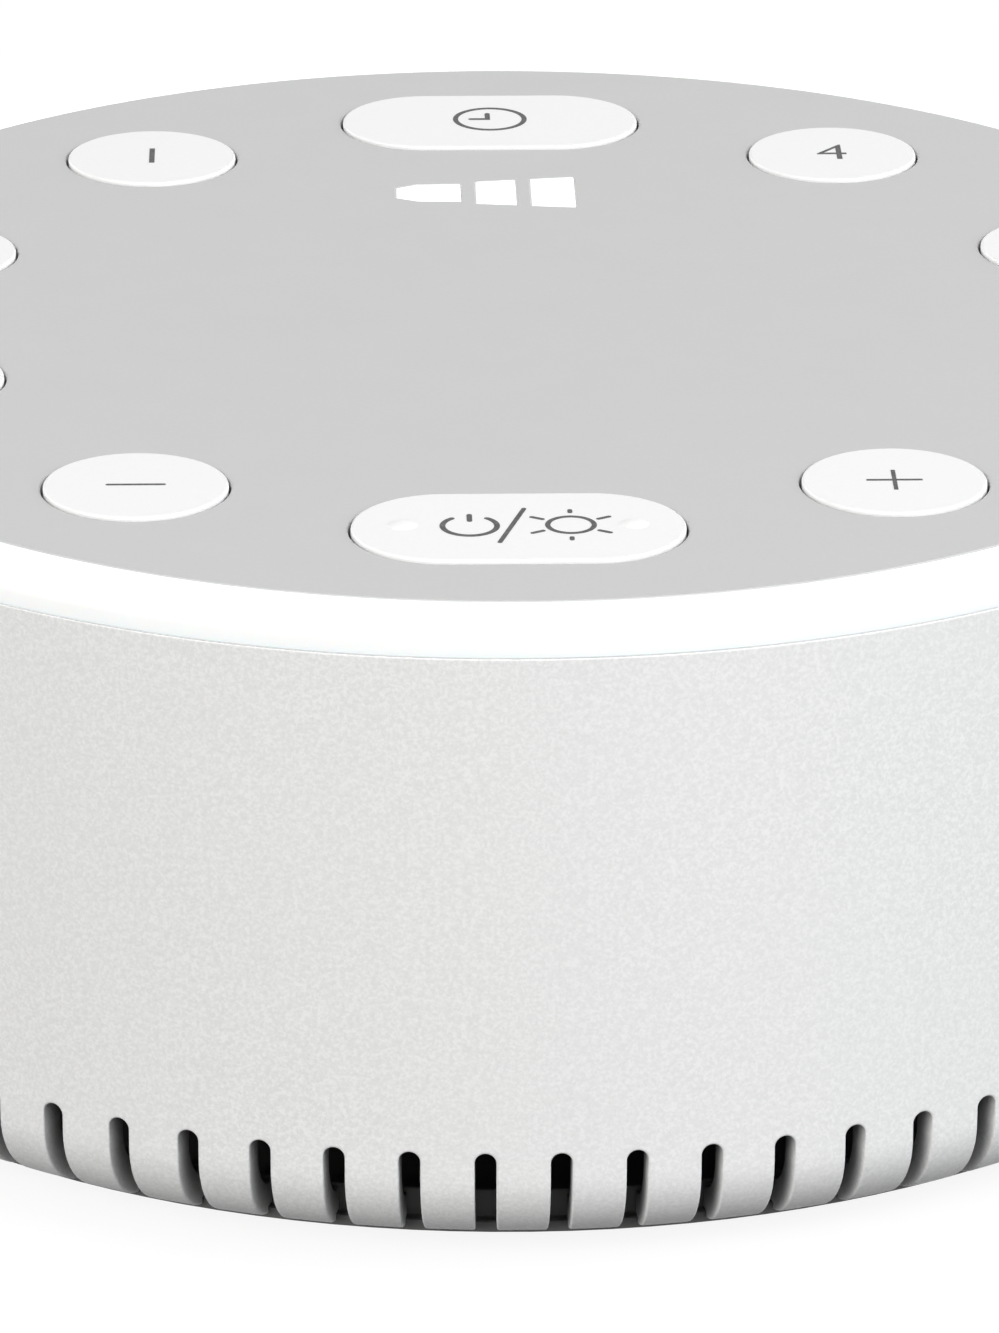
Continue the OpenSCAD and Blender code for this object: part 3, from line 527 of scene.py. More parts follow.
def circuit_board():
    """Green solder mask over copper tracks."""
    paint = Paint("circuit_board", (0.02, 0.11, 0.045), 0.35)
    tracks = paint.node("ShaderNodeTexBrick", {"Scale": 1 / (7 * MM), "Mortar Size": 0.045,
                                               "Mortar Smooth": 0.0}, offset=0.37, squash=1.6)
    paint.wire(paint.coordinates, tracks.inputs["Vector"])
    paint.mottle(tracks.outputs["Fac"], (0.05, 0.2, 0.07), 1.0, 0.2, 0.8)
    paint.mottle(paint.noise(12, 2), (0.016, 0.09, 0.04))
    paint.bump(tracks.outputs["Fac"], 0.03, 0.8)
    paint.gloss(paint.noise(3, 2), 0.3, 0.4)
    return paint.material


def brushed(name, colour, roughness, stretch=(1, 1, 14)):
    """Metal with drawn lines and a slightly uneven gloss."""
    paint = Paint(name, colour, roughness, Metallic=1.0)
    lines = paint.noise(0.5, 3, 0.6, stretch)
    paint.mottle(lines, shade(colour, 0.86))
    paint.gloss(lines, roughness * 0.8, roughness * 1.25)
    paint.bump(lines, 0.006, 0.5)
    return paint.material


def copper():
    """Varnished copper wire, wound close."""
    paint = Paint("copper", (0.72, 0.3, 0.14), 0.28, Metallic=1.0, Coat_Weight=0.4, Coat_Roughness=0.2)
    turns = paint.bands(0.18)
    paint.mottle(turns, (0.5, 0.18, 0.08))
    paint.bump(turns, 0.05, 0.8)
    paint.gloss(paint.noise(1, 2), 0.22, 0.36)
    return paint.material


def cone_paper():
    """Pressed paper with long fibres."""
    paint = Paint("paper", grey(0.035), 0.82)
    fibres = paint.noise(0.7, 5, 0.7, (1, 1, 3))
    paint.mottle(fibres, grey(0.065))
    paint.bump(fibres, 0.05, 0.7)
    paint.gloss(paint.noise(2, 2), 0.76, 0.9)
    return paint.material


def spider_cloth():
    """Woven cloth dipped in resin."""
    paint = Paint("cloth", (0.55, 0.36, 0.1), 0.75)
    warp, weft = paint.bands(0.5, "X"), paint.bands(0.5, "Y")
    paint.mottle(warp, (0.42, 0.26, 0.06), 0.8)
    paint.mottle(weft, (0.64, 0.44, 0.15), 0.5)
    paint.bump(warp, 0.04, 0.6)
    paint.bump(weft, 0.04, 0.6)
    return paint.material


def foam():
    """Open foam with small cells."""
    paint = Paint("foam", grey(0.03), 0.95)
    holes = paint.cells(0.6)
    paint.mottle(holes, grey(0.07), 1.0, 0.1, 0.5)
    paint.bump(holes, 0.15, 0.9)
    paint.gloss(paint.noise(1, 2), 0.88, 1.0)
    return paint.material


def ferrite():
    """Sintered magnet, dark and slightly crystalline."""
    paint = Paint("ferrite", grey(0.06), 0.55, Specular_IOR_Level=0.6)
    grains = paint.cells(0.35)
    paint.mottle(grains, grey(0.1), 1.0, 0.1, 0.6)
    paint.gloss(grains, 0.4, 0.65)
    paint.bump(paint.noise(0.6, 4), 0.02, 0.7)
    return paint.material


def lamp():
    """Cast resin over a yellowish phosphor."""
    paint = Paint("lamp", (0.85, 0.8, 0.55), 0.25, Subsurface_Weight=0.3, Subsurface_Scale=0.001)
    paint.mottle(paint.noise(1.4, 2), (0.9, 0.88, 0.72))
    paint.gloss(paint.noise(0.8, 2), 0.2, 0.32)
    return paint.material


def ink():
    """Thin grey print with a slightly worn, uneven cover."""
    paint = Paint("ink", grey(0.06), 0.6, Specular_IOR_Level=0.3)
    paint.mottle(paint.noise(0.45, 3, 0.6), grey(0.13))
    paint.gloss(paint.noise(0.6, 2), 0.54, 0.68)
    return paint.material


def make_materials():
    made = [
        sleeve_paint(), diffuser(), clear_guide(), circuit_board(), copper(), cone_paper(), spider_cloth(),
        foam(), ferrite(), lamp(), ink(),
        moulded("panel_grey", grey(0.6), 0.55, 0.4, 0.003, Specular_IOR_Level=0.3),
        moulded("key_white", grey(0.935), 0.42, 0.3, 0.004, Specular_IOR_Level=0.35),
        moulded("base_grey", (0.13, 0.131, 0.128), 0.62, 0.5, 0.03),
        moulded("black_plastic", grey(0.022), 0.45, 0.4, 0.012),
        moulded("rubber", grey(0.028), 0.82, 0.5, 0.03, Sheen_Weight=0.15),
        moulded("socket_white", (0.82, 0.8, 0.74), 0.48, 0.3, 0.006),
        moulded("lead_red", (0.5, 0.02, 0.015), 0.4, 0.8, 0.01),
        moulded("lead_black", grey(0.02), 0.4, 0.8, 0.01),
        brushed("screw_steel", (0.66, 0.66, 0.68), 0.32),
        brushed("pressed_steel", (0.52, 0.53, 0.55), 0.4, (1, 1, 1)),
        brushed("pin_metal", (0.78, 0.72, 0.55), 0.22, (1, 8, 1)),
    ]
    return {material.name: material for material in made}


# ---- sleeve

def inset(path, depth):
    """Open path of (radius, height) moved into the material, which lies on its right-hand side."""
    shifted = []
    for i, (r, z) in enumerate(path):
        sides = [(path[j], path[j + 1]) for j in (i - 1, i) if 0 <= j < len(path) - 1]
        normals = [Vector((b[1] - a[1], a[0] - b[0])).normalized() for a, b in sides]
        first, last = normals[0], normals[-1]
        mitre = (first + last) / (1 + first.dot(last))
        shifted.append((r + mitre.x * depth, z + mitre.y * depth))
    return shifted


def around_axis(radius, across, z):
    """Point at a radius from the axis and a distance beside the slot's middle."""
    return (math.sqrt(radius * radius - across * across), across, z)


def sleeve_path():
    """Outer face, lip and inner face of the sleeve beside a slot, as (radius, height)."""
    round_r, round_z = BODY_R - BOTTOM_R, UNDER_Z + BOTTOM_R
    end_deg = -math.degrees(math.acos((STEP_R - round_r) / BOTTOM_R))
    inner_end_deg = -math.degrees(math.acos((LIP_IN_R + LIP_FLAT - round_r) / (BOTTOM_R - WALL)))
    outer = [(BODY_R, z) for z in steps(SLOT_MID_Z, round_z, 2)][:-1]
    outer += arc((round_r, round_z), BOTTOM_R, 0, end_deg, 12)
    inner = [(SLEEVE_IN_R, z) for z in steps(SLOT_MID_Z, round_z, 2)][:-1]
    inner += arc((round_r, round_z), BOTTOM_R - WALL, 0, inner_end_deg, 12)
    lip = [(STEP_R, STEP_Z), (LIP_IN_R, STEP_Z), (LIP_IN_R, inner[-1][1])]
    return outer, lip, inner[::-1]


def add_slot_sides(sector, soft):
    """The bars beside the slot, below its round end."""
    outer, lip, inner = sleeve_path()
    path = outer + lip + inner
    for side in (1, -1):
        columns = [sector.row(around_axis(r, side * across, z) for r, z in inset(path, depth))
                   for across, depth in soft]
        for share in (0.5, 1):
            points = []
            for r, z in path:
                start = math.asin(soft[-1][0] / r)
                points.append(polar(r, side * (start + (HALF_PITCH - start) * share), z))
            columns.append(sector.row(points))
        sector.stack(columns, closed=False)
        wall = columns[0]
        near, far = wall[:len(outer)], wall[-len(inner):][::-1]
        step, lip_low, lip_high = wall[len(outer):-len(inner)]
        sector.strip(near[:-1], far[:-1])
        sector.faces.append((near[-2], near[-1], step, far[-1], far[-2]))
        sector.faces.append((step, lip_low, lip_high, far[-1]))


def add_slot_end(sector, soft):
    """The outer and inner face round the slot's round end, and the wall of that end."""
    side = [(HALF_PITCH, z) for z in steps(SLOT_MID_Z, SECTOR_TOP_Z, 4)]
    top = [(a, SECTOR_TOP_Z) for a in steps(HALF_PITCH, -HALF_PITCH, SECTOR_ROWS)]
    border = side + top[1:] + [(-a, z) for a, z in side[::-1]][1:]
    turn = steps(0, math.pi, len(border) - 1)
    soft_end = soft[-1][0]
    walls = []
    for surface_r, inward in ((BODY_R, -1), (SLEEVE_IN_R, 1)):
        rows = []
        for reach, depth in soft:
            r = surface_r + inward * depth
            rows.append(sector.row(around_axis(r, reach * math.cos(a), SLOT_MID_Z + reach * math.sin(a))
                                   for a in turn))
        for share in (0.5, 1):
            points = []
            for a, (border_angle, border_z) in zip(turn, border):
                start = math.asin(soft_end * math.cos(a) / surface_r)
                z = SLOT_MID_Z + soft_end * math.sin(a)
                angle = start + (border_angle - start) * share
                points.append(polar(surface_r, angle, z + (border_z - z) * share))
            rows.append(sector.row(points))
        sector.stack(rows, closed=False)
        walls.append(rows[0])
    sector.strip(*walls)


def add_plain_wall(sector):
    """The wall above the slot, over its soft mouth and down inside."""
    heights = (SECTOR_TOP_Z, *WALL_ROWS)
    path = [(BODY_R, z) for z in (*heights, MOUTH_Z - FINE_EDGE - SUPPORT)]
    path += arc((BODY_R - FINE_EDGE, MOUTH_Z - FINE_EDGE), FINE_EDGE, 0, 90, 3)
    path += [(SLEEVE_IN_R, z) for z in (MOUTH_Z, *heights[::-1])]
    angles = steps(HALF_PITCH, -HALF_PITCH, SECTOR_ROWS)
    sector.stack([sector.row(polar(r, a, z) for a in angles) for r, z in path], closed=False)


def sleeve_sector():
    """One slot of the sleeve with half of the bar on either side of it, pointing along +X."""
    # soft edge of the slot: distance beside its middle, and depth below the surface
    soft = [(SLOT_HALF + beside, depth) for beside, depth in quarter_round(EDGE, 3)]
    soft.append((SLOT_HALF + EDGE + SUPPORT, 0))
    sector = Solid()
    add_slot_sides(sector, soft)
    add_slot_end(sector, soft)
    add_plain_wall(sector)
    return sector


def inlet_hole():
    """Tool for the power socket's hole, with a small chamfer at the sleeve's face."""
    z = (INLET_LOW.z + INLET_HIGH.z) / 2
    wide_r = INLET_R + INLET_CHAMFER
    wide_y = BODY_R + 0.1  # a little outside the face, so that the whole edge is chamfered
    tool = Solid()
    tool.block([tool.row((px, y, z + pz) for px, pz in circle(r, 64)) for r, y in (
        (INLET_R, BODY_R - 6), (INLET_R, wide_y - INLET_CHAMFER), (wide_r, wide_y), (wide_r, BODY_R + 2))])
    made = link("inlet_tool", tool.mesh("inlet_tool"))
    tidy_mesh(made.data)
    return made


def make_sleeve():
    first_deg = 90 + 180 / SLOTS  # a bar lies in the middle of the back, and so of the front
    whole = repeated(sleeve_sector(), "sleeve_uncut", SLOTS, first_deg, "sleeve_paint")
    tool = inlet_hole()
    cut = whole.modifiers.new("cut", "BOOLEAN")
    cut.operation, cut.solver, cut.object = "DIFFERENCE", "EXACT", tool
    sleeve = plain(whole, "slotted_sleeve")
    bpy.data.objects.remove(tool)
    tidy_mesh(sleeve.data)
    dress(sleeve, "sleeve_paint", replaces=["housing"])


# ---- ring and panel

def make_ring():
    fine = FINE_EDGE
    profile = arc((RING_IN_R + fine, TOP_Z - fine), fine, 180, 90, 3)
    profile += [(RING_IN_R + fine + SUPPORT, TOP_Z), (BODY_R - RING_EDGE_R - SUPPORT, TOP_Z)]
    profile += arc((BODY_R - RING_EDGE_R, TOP_Z - RING_EDGE_R), RING_EDGE_R, 90, 0, 10)
    profile += [(BODY_R, MOUTH_Z + fine + SUPPORT)]
    profile += arc((BODY_R - fine, MOUTH_Z + fine), fine, 0, -90, 3)
    profile += [(RING_LIP[1], MOUTH_Z), (RING_LIP[1], RING_LOW.z), (RING_LIP[0], RING_LOW.z),
                (RING_LIP[0], RING_LEDGE_Z), (RING_LEDGE_R, RING_LEDGE_Z), (RING_LEDGE_R, PANEL_Z),
                (RING_IN_R, PANEL_Z), (RING_IN_R, TOP_Z - fine - SUPPORT)]
    finish_piece(turned(profile, ROUND_POINTS), "night_light_ring", "diffuser", replaces=["light_ring"])


def stadium(length, radius, count=28):
    """Outline of a round-ended bar, or of a circle where its length is 0."""
    points = []
    for end, start in ((length / 2, -90), (-length / 2, 90)):
        row = arc((end, 0), radius, start, start + 180, count)
        points += row if length else row[:-1]
    return points


def rounded(points, radius, count=5):
    """Polygon with every corner rounded."""
    made = []
    total = len(points)
    for i, point in enumerate(points):
        here = Vector(point)
        before, after = Vector(points[i - 1]), Vector(points[(i + 1) % total])
        to_before, to_after = (before - here).normalized(), (after - here).normalized()
        half = to_before.angle(to_after) / 2
        if half > math.radians(80):  # nearly straight, so nothing to round
            made.append(tuple(here))
            continue
        run = min(radius / math.tan(half), (before - here).length * 0.45, (after - here).length * 0.45)
        first, last = here + to_before * run, here + to_after * run
        for t in steps(0, 1, count):
            made.append(tuple(first.lerp(here, t).lerp(here.lerp(last, t), t)))
    return made


def half_depth(x):
    """Half of the depth of the row of timer lights at a distance from the row's centre."""
    for (x0, d0), (x1, d1) in zip(BAR_PROFILE, BAR_PROFILE[1:]):
        if x <= x1:
            return d0 + (d1 - d0) * (x - x0) / (x1 - x0)
    return BAR_PROFILE[-1][1]


def timer_bar(span, grow):
    """Outline of one timer light, in the panel's frame."""
    middle_y = (GUIDE_LOW.y + GUIDE_HIGH.y) / 2
    knees = [x for x, _ in BAR_PROFILE if span[0] < x < span[1]]
    places = [span[0], *knees, span[1]]
    wide = [span[0] - grow, *knees, span[1] + grow]
    lower = [(x, middle_y - half_depth(place) - grow) for x, place in zip(wide, places)]
    upper = [(x, middle_y + half_depth(place) + grow) for x, place in zip(wide, places)]
    return rounded(lower + upper[::-1], BAR_CORNER + grow)


def key_frame(name):
    """Centre, straight length, end radius and heights of a key cap."""
    low, high = box_mm(name)
    length = high.x - low.x - (high.y - low.y)
    return {
        "x": (low.x + high.x) / 2, "y": (low.y + high.y) / 2, "radius": (high.y - low.y) / 2 - FLANGE_W,
        "length": length if length > MERGE else 0, "top": high.z, "low": low.z,
    }


def key_outline(key, grow):
    return moved(stadium(key["length"], key["radius"] + grow), key["x"], key["y"])


def add_post(solid, x, y, radius, bore, low, high):
    """Closed post with a blind bore from below."""
    deep = low + (high - low) * BORE_SHARE
    sizes = [(radius, high), (radius, low), (bore, low), (bore, deep)]
    solid.block([solid.row(at(moved(circle(r, 48), x, y), z)) for r, z in sizes])


def make_panel():
    """Panel with an opening for each key and each timer light, and the posts under it."""
    panel = Solid()
    outlines = [lambda grow: stadium(0, PANEL_HIGH.x + grow, ROUND_POINTS // 2)]
    outlines += [lambda grow, key=key_frame(name): key_outline(key, KEY_GAP - grow) for name in KEYS]
    outlines += [lambda grow, span=span: timer_bar(span, BAR_GAP - grow) for span in BAR_SPANS]
    sizes = [(-FINE_EDGE - SUPPORT, TOP_Z)]
    sizes += [(-inside, TOP_Z - depth) for depth, inside in quarter_round(FINE_EDGE, 3)]
    sizes += [(0, TOP_Z - FINE_EDGE - SUPPORT), (0, PANEL_Z)]
    tops, bottoms = [], []
    for outline in outlines:
        rows = [panel.row(at(outline(grow), z)) for grow, z in sizes]
        panel.stack(rows)
        tops.append(rows[0])
        bottoms.append(rows[-1])
    panel.fill(tops)
    panel.fill(bottoms)
    for circle_r, angles, post_r, bore_r, foot_z in PANEL_POSTS:
        for angle in angles:
            x, y, top = polar(circle_r, math.radians(angle), PANEL_Z + SUPPORT)
            add_post(panel, x, y, post_r, bore_r, foot_z, top)
    finish_piece(panel, "key_panel", "panel_grey", replaces=["top_panel"])


def make_timer_lights():
    """Three lit bars on their plate, with a rod down to each lamp."""
    lights = Solid()
    fine = FINE_EDGE / 2
    sizes = [(-fine - SUPPORT, TOP_Z), (-fine, TOP_Z), (0, TOP_Z - fine), (0, PANEL_Z - SUPPORT)]
    for span in BAR_SPANS:
        lights.block([lights.row(at(timer_bar(span, grow), z)) for grow, z in sizes])
    middle_y = (GUIDE_LOW.y + GUIDE_HIGH.y) / 2
    plate_z = PANEL_Z - GUIDE_PLATE_T
    blocks = [(GUIDE_LOW.x, GUIDE_HIGH.x, (GUIDE_HIGH.y - GUIDE_LOW.y) / 2, plate_z, PANEL_Z)]
    for span in BAR_SPANS:
        rod_x = sum(span) / 2
        blocks.append((rod_x - GUIDE_ROD, rod_x + GUIDE_ROD, GUIDE_ROD, GUIDE_LOW.z, plate_z + SUPPORT))
    for x0, x1, half, low, high in blocks:
        corners = [(x0, -half), (x1, -half), (x1, half), (x0, half)]
        outline = moved(rounded(corners, GUIDE_CORNER, 3), 0, middle_y)
        lights.block([lights.row(at(outline, low)), lights.row(at(outline, high))])
    finish_piece(lights, "timer_light_bars", "clear_guide", replaces=["timer_light_guide"])


# ---- keys and their prints

def make_key(name):
    """Key cap with its flange and stem; gives its place."""
    key = key_frame(name)
    top = key["top"]
    flange_top, flange_low = top - CAP_H, top - CAP_H - FLANGE_T
    sizes = [(-KEY_EDGE - SUPPORT, top)]
    sizes += [(-inside, top - depth) for depth, inside in quarter_round(KEY_EDGE, 6)]
    sizes += [(0, top - KEY_EDGE - SUPPORT), (0, flange_top), (FLANGE_W, flange_top), (FLANGE_W, flange_low)]
    cap = Solid()
    cap.block([cap.row(at(key_outline(key, grow), z)) for grow, z in sizes])
    stem = moved(stadium(0, STEM_R), key["x"], key["y"])
    cap.block([cap.row(at(stem, flange_low + SUPPORT)), cap.row(at(stem, key["low"]))])
    if KEYS[name] == "power":
        for side in (-1, 1):
            add_bump(cap, key["x"] + side * BUMP_X, key["y"] + BUMP_Y, top - BUMP_SINK)
    finish_piece(cap, name + "_cap", "key_white", body=name, replaces=[name])
    return key


def add_bump(solid, x, y, z):
    """Low dome that a finger can find."""
    ball = (BUMP_R ** 2 + BUMP_H ** 2) / (2 * BUMP_H)
    reach = math.asin(BUMP_R / ball)
    rows = []
    for share in steps(0, 0.9, 6):  # up to a small flat
        angle = reach * (1 - share)
        height = ball * math.cos(angle) - ball + BUMP_H
        rows.append(solid.row(at(moved(circle(ball * math.sin(angle), 40), x, y), z + height)))
    solid.block(rows)


def stroke(solid, path, width, low, high, closed=False):
    """Flat ribbon of ink along a path, with round ends where it is open."""
    count = len(path)
    first_end, second_end = count + STROKE_END, 2 * count + STROKE_END
    left, right = [], []
    for i in range(count):
        here = Vector(path[i])
        before = Vector(path[i - 1]) if i or closed else None
        after = Vector(path[(i + 1) % count]) if i < count - 1 or closed else None
        pairs = ((before, here), (here, after))
        runs = [(b - a).normalized() for a, b in pairs if a is not None and b is not None]
        sides = [Vector((-run.y, run.x)) for run in runs]
        mitre = (sides[0] + sides[-1]) / (1 + sides[0].dot(sides[-1]))
        left.append(here + mitre * width / 2)
        right.append(here - mitre * width / 2)
    if closed:
        edges = ((left, high), (right, high), (right, low), (left, low))
        loops = [solid.row(at(points, z)) for points, z in edges]
        solid.stack(loops + loops[:1])
        return
    ends = []
    turns = steps(0, math.pi, STROKE_END + 1)[1:-1]
    for here, side in ((path[0], left[0]), (path[-1], right[-1])):
        middle, reach = Vector(here), side - Vector(here)
        ends.append([middle + Matrix.Rotation(turn, 2) @ reach for turn in turns])
    outline = right + ends[1] + left[::-1] + ends[0]
    upper, lower = solid.row(at(outline, high)), solid.row(at(outline, low))
    solid.strip(upper, lower, closed=True)
    for row in (upper, lower):
        a, b = row[:count], row[first_end:second_end][::-1]
        solid.strip(a, b)
        solid.faces.append((a[-1], *row[count:first_end], b[-1]))
        solid.faces.append((b[0], *row[second_end:], a[0]))


def clock_icon(draw, x, y):
    """Clock face with its hands at nine."""
    radius, hand, line = 2.9, 1.4, 0.42
    middle_y, corner_x = y + 0.35, x - 0.2
    draw(moved(circle(radius, 60), x, middle_y), line, True)
    draw([(corner_x - hand, middle_y), (corner_x, middle_y), (corner_x, middle_y + hand)], line)


def power_icon(draw, x, y):
    """Power sign, a slash and a small sun."""
    power_x, power_r, opening = x - 3.6, 2.02, 80
    draw(arc((power_x, y + 0.05), power_r, 90 + opening / 2, 450 - opening / 2, 42), 0.42)
    draw([(power_x, y + 1.1), (power_x, y + 2.3)], 0.4)
    draw([(x - 1.45, y - 3.35), (x + 0.48, y + 3.55)], 0.36)
    sun_x, sun_y, sun_r = x + 3.87, y + 0.15, 1.72
    upright_ray, slanted_ray = (2.6, 3.05), (2.4, 3.3)
    draw(moved(circle(sun_r, 60), sun_x, sun_y), 0.38, True)
    for k in range(6):
        angle = math.radians(90 + 60 * k)
        ray = slanted_ray if k % 3 else upright_ray
        draw([(sun_x + r * math.cos(angle), sun_y + r * math.sin(angle)) for r in ray], 0.36)


def minus_icon(draw, x, y):
    draw([(x - SIGN_REACH, y), (x + SIGN_REACH, y)], SIGN_LINE)


def plus_outline(x, y):
    """Outline of a plus sign, one arm after the other."""
    half = SIGN_LINE / 2
    arm = [Vector((SIGN_REACH, -half)), Vector((SIGN_REACH, half)), Vector((half, half))]
    turns = [Matrix.Rotation(math.pi / 2 * k, 2) for k in range(4)]
    return [tuple(turn @ corner + Vector((x, y))) for turn in turns for corner in arm]


ICONS = {"clock": clock_icon, "power": power_icon, "minus": minus_icon}


def print_icon(name, key):
    """Printed sign on a key."""
    prints = Solid()
    high, low = key["top"] + INK_T, key["top"] - INK_SINK

    def draw(path, width, closed=False):
        stroke(prints, path, width, low, high, closed)

    if KEYS[name] == "plus":
        outline = plus_outline(key["x"], key["y"])
        rows = [prints.row(at(outline, z)) for z in (high, low)]
        prints.stack(rows)
        for row in rows:
            prints.fill([row])
    else:
        ICONS[KEYS[name]](draw, key["x"], key["y"])
    finish_piece(prints, name + "_print", "ink", body=name, slot="panel_grey")


def print_number(name, key):
    """Plain number on a sound key."""
    text = bpy.data.curves.new(name + "_print", "FONT")
    text.body = KEYS[name]
    text.size = NUMBER_SIZE * MM
    text.align_x, text.align_y = "CENTER", "CENTER"
    text.extrude = (INK_T + INK_SINK) / 2 * MM
    text.offset = -NUMBER_THINNING * MM
    text.resolution_u = 6
    written = link(name + "_text", text)
    made = plain(written, name + "_print")
    bpy.data.curves.remove(text)
    middle_z = key["top"] + (INK_T - INK_SINK) / 2
    made.data.transform(Matrix.Translation(Vector((key["x"], key["y"], middle_z)) * MM))
    tidy_mesh(made.data)
    dress(made, "ink", body=name, slot="panel_grey")


# ---- the loudspeaker's cloth

COLLAR_R = (8.02, 10.2)  # the part of the spider that is glued to the voice coil
COLLAR_GAP = 0.02
CLOTH_T = 0.35
CLOTH_WAVES = 3
CLOTH_WAVE_DEPTH = 0.5
CLOTH_RIM = 1.5


def make_spider():
    """Corrugated cloth held by the basket, and its glued collar, which moves with the cone."""
    high = box_mm("spider")[1]
    flat_z = high.z - CLOTH_T
    wave_end = high.x - CLOTH_RIM
    lower = [(COLLAR_R[1] + COLLAR_GAP, flat_z)]
    for share in steps(0, 1, 36)[1:]:
        dip = CLOTH_WAVE_DEPTH * (1 - math.cos(math.tau * CLOTH_WAVES * share)) / 2
        lower.append((COLLAR_R[1] + (wave_end - COLLAR_R[1]) * share, flat_z - dip))
    lower.append((high.x, flat_z))
    collar = [(COLLAR_R[0], flat_z), (COLLAR_R[1], flat_z)]
    for name, path, body, stands_for in (("spider_cloth", lower, "root", ["spider"]),
                                         ("spider_collar", collar, "speaker_diaphragm", [])):
        profile = path + [(r, z + CLOTH_T) for r, z in path[::-1]]
        finish_piece(turned(profile, 120), name, "cloth", sharp_deg=50, body=body, replaces=stands_for)


# ---- copies of CAD nodes with soft edges

BROAD_FACE = 20  # square millimetres, from which a flat face is shaded flat
SAME_PLANE_DEG = 0.6
HARD_EDGE_DEG = 35


def softened(node, name, edge):
    """Copy of a fixed CAD node whose hard edges are rounded; it stands for the node."""
    mesh = frame["nodes"][node].data.copy()
    bm = bmesh.new()
    bm.from_mesh(mesh)
    bmesh.ops.remove_doubles(bm, verts=bm.verts[:], dist=MERGE * MM)
    bmesh.ops.dissolve_limit(bm, angle_limit=math.radians(SAME_PLANE_DEG), verts=bm.verts[:],
                             edges=bm.edges[:])
    hard = [e for e in bm.edges if e.is_manifold and e.calc_face_angle(0) > math.radians(HARD_EDGE_DEG)]
    bmesh.ops.bevel(bm, geom=hard, offset=edge * MM, segments=2, affect="EDGES", profile=0.5,
                    clamp_overlap=True)
    bm.to_mesh(mesh)
    bm.free()
    made = link(name, mesh)
    tidy_mesh(made.data)
    for face in made.data.polygons:
        face.use_smooth = face.area < BROAD_FACE * MM * MM
    weigh = made.modifiers.new("weigh", "WEIGHTED_NORMAL")
    weigh.keep_sharp = True
    dress(plain(made, name), NODE_SLOTS[node], replaces=[node])


# ---- camera, light and floor

SOFTBOX_SIZE, SOFTBOX_DISTANCE = 0.8, 1.35  # metres
# Degrees to the right from the front, degrees up, watts and colour
SOFTBOXES = {
    "behind_right": (126, 20, 6, (1, 1, 1)),
    "behind_left": (-132, 20, 6, (1, 1, 1)),
    "far_right": (72, 27, 10.9, (0.965, 0.983, 1)),
    "front_right": (30, 27, 3.6, (0.985, 0.99, 1)),
    "front_left": (-36, 27, 12.1, (1, 0.99, 0.97)),
}
WORLD_LIGHT = 0.2
FLOOR_GREY = 0.075      # how much light the floor throws back on the object
LIT_SHARE = 0.15        # share of the seen floor that the lamps light, so how deep a shadow can be
LAMPS_ON_FLOOR = 0.8    # about the brightness of a white floor in these lamps
SHADOW_NEAR = 1.2 * BODY_R  # the shadow fades out from here
SHADOW_FAR = 4 * BODY_R     # to here
FLOOR_R = 6000          # from the middle to the floor's corners
FLOOR_Z = -0.02


def photo_camera():
    """Camera where the photograph was taken, found by fitting the key circle and the slots."""
    distance = 664.84
    height_deg, extra_pitch_deg = 19.310, 2.413
    heading_deg, yaw_deg, roll_deg = -1.383, -0.022, 0.118
    focal_px, frame_px, sensor = 8402.3, 1333, 36
    height, dip = math.radians(height_deg), math.radians(height_deg + extra_pitch_deg)
    yaw, roll = math.radians(yaw_deg), math.radians(roll_deg)
    look = Vector((math.sin(yaw) * math.cos(dip), math.cos(yaw) * math.cos(dip), -math.sin(dip)))
    right = look.cross(Vector((0, 0, 1))).normalized()
    up = right.cross(look)
    right, up = right * math.cos(roll) + up * math.sin(roll), up * math.cos(roll) - right * math.sin(roll)
    turn = Matrix.Rotation(math.radians(heading_deg), 3, "Z")
    place = turn @ (distance * Vector((0, -math.cos(height), math.sin(height)))) + Vector((0, 0, TOP_Z))
    axes = Matrix((turn @ right, turn @ up, turn @ -look)).transposed()
    data = bpy.data.cameras.new("photo_camera")
    data.sensor_width = sensor
    data.lens = focal_px / frame_px * sensor
    data.clip_start, data.clip_end = 0.01, 20
    camera = link("photo_camera", data)
    camera.matrix_world = Matrix.Translation(place * MM) @ axes.to_4x4()
    bpy.context.scene.camera = camera


def softbox(name, side_deg, height_deg, power, colour):
    """Square soft light aimed at the middle of the object."""
    data = bpy.data.lights.new(name, "AREA")
    data.shape, data.size = "SQUARE", SOFTBOX_SIZE
    data.energy, data.color = power, colour
    side, height = math.radians(side_deg), math.radians(height_deg)
    across = math.cos(height)
    reach = Vector((math.sin(side) * across, -math.cos(side) * across, math.sin(height)))
    light = link(name, data)
    light.location = Vector((0, 0, TOP_Z / 2 * MM)) + reach * SOFTBOX_DISTANCE
    light.rotation_euler = reach.to_track_quat("Z", "Y").to_euler()


def seen_directly(tree):
    """Socket that is 1 for rays from the camera and for mirror and glass rays."""
    path = tree.nodes.new("ShaderNodeLightPath")
    total = path.outputs["Is Camera Ray"]
    for name in ("Is Glossy Ray", "Is Transmission Ray"):
        join = tree.nodes.new("ShaderNodeMath")
        join.operation, join.use_clamp = "ADD", True
        tree.links.new(total, join.inputs[0])
        tree.links.new(path.outputs[name], join.inputs[1])
        total = join.outputs[0]
    return total


def mixed(tree, share, first, second):
    """Mix of two shaders: the first one where share is 0, and the second one where it is 1."""
    mix = tree.nodes.new("ShaderNodeMixShader")
    for source, target in zip((share, first, second), mix.inputs):
        tree.links.new(source, target)
    return mix.outputs[0]


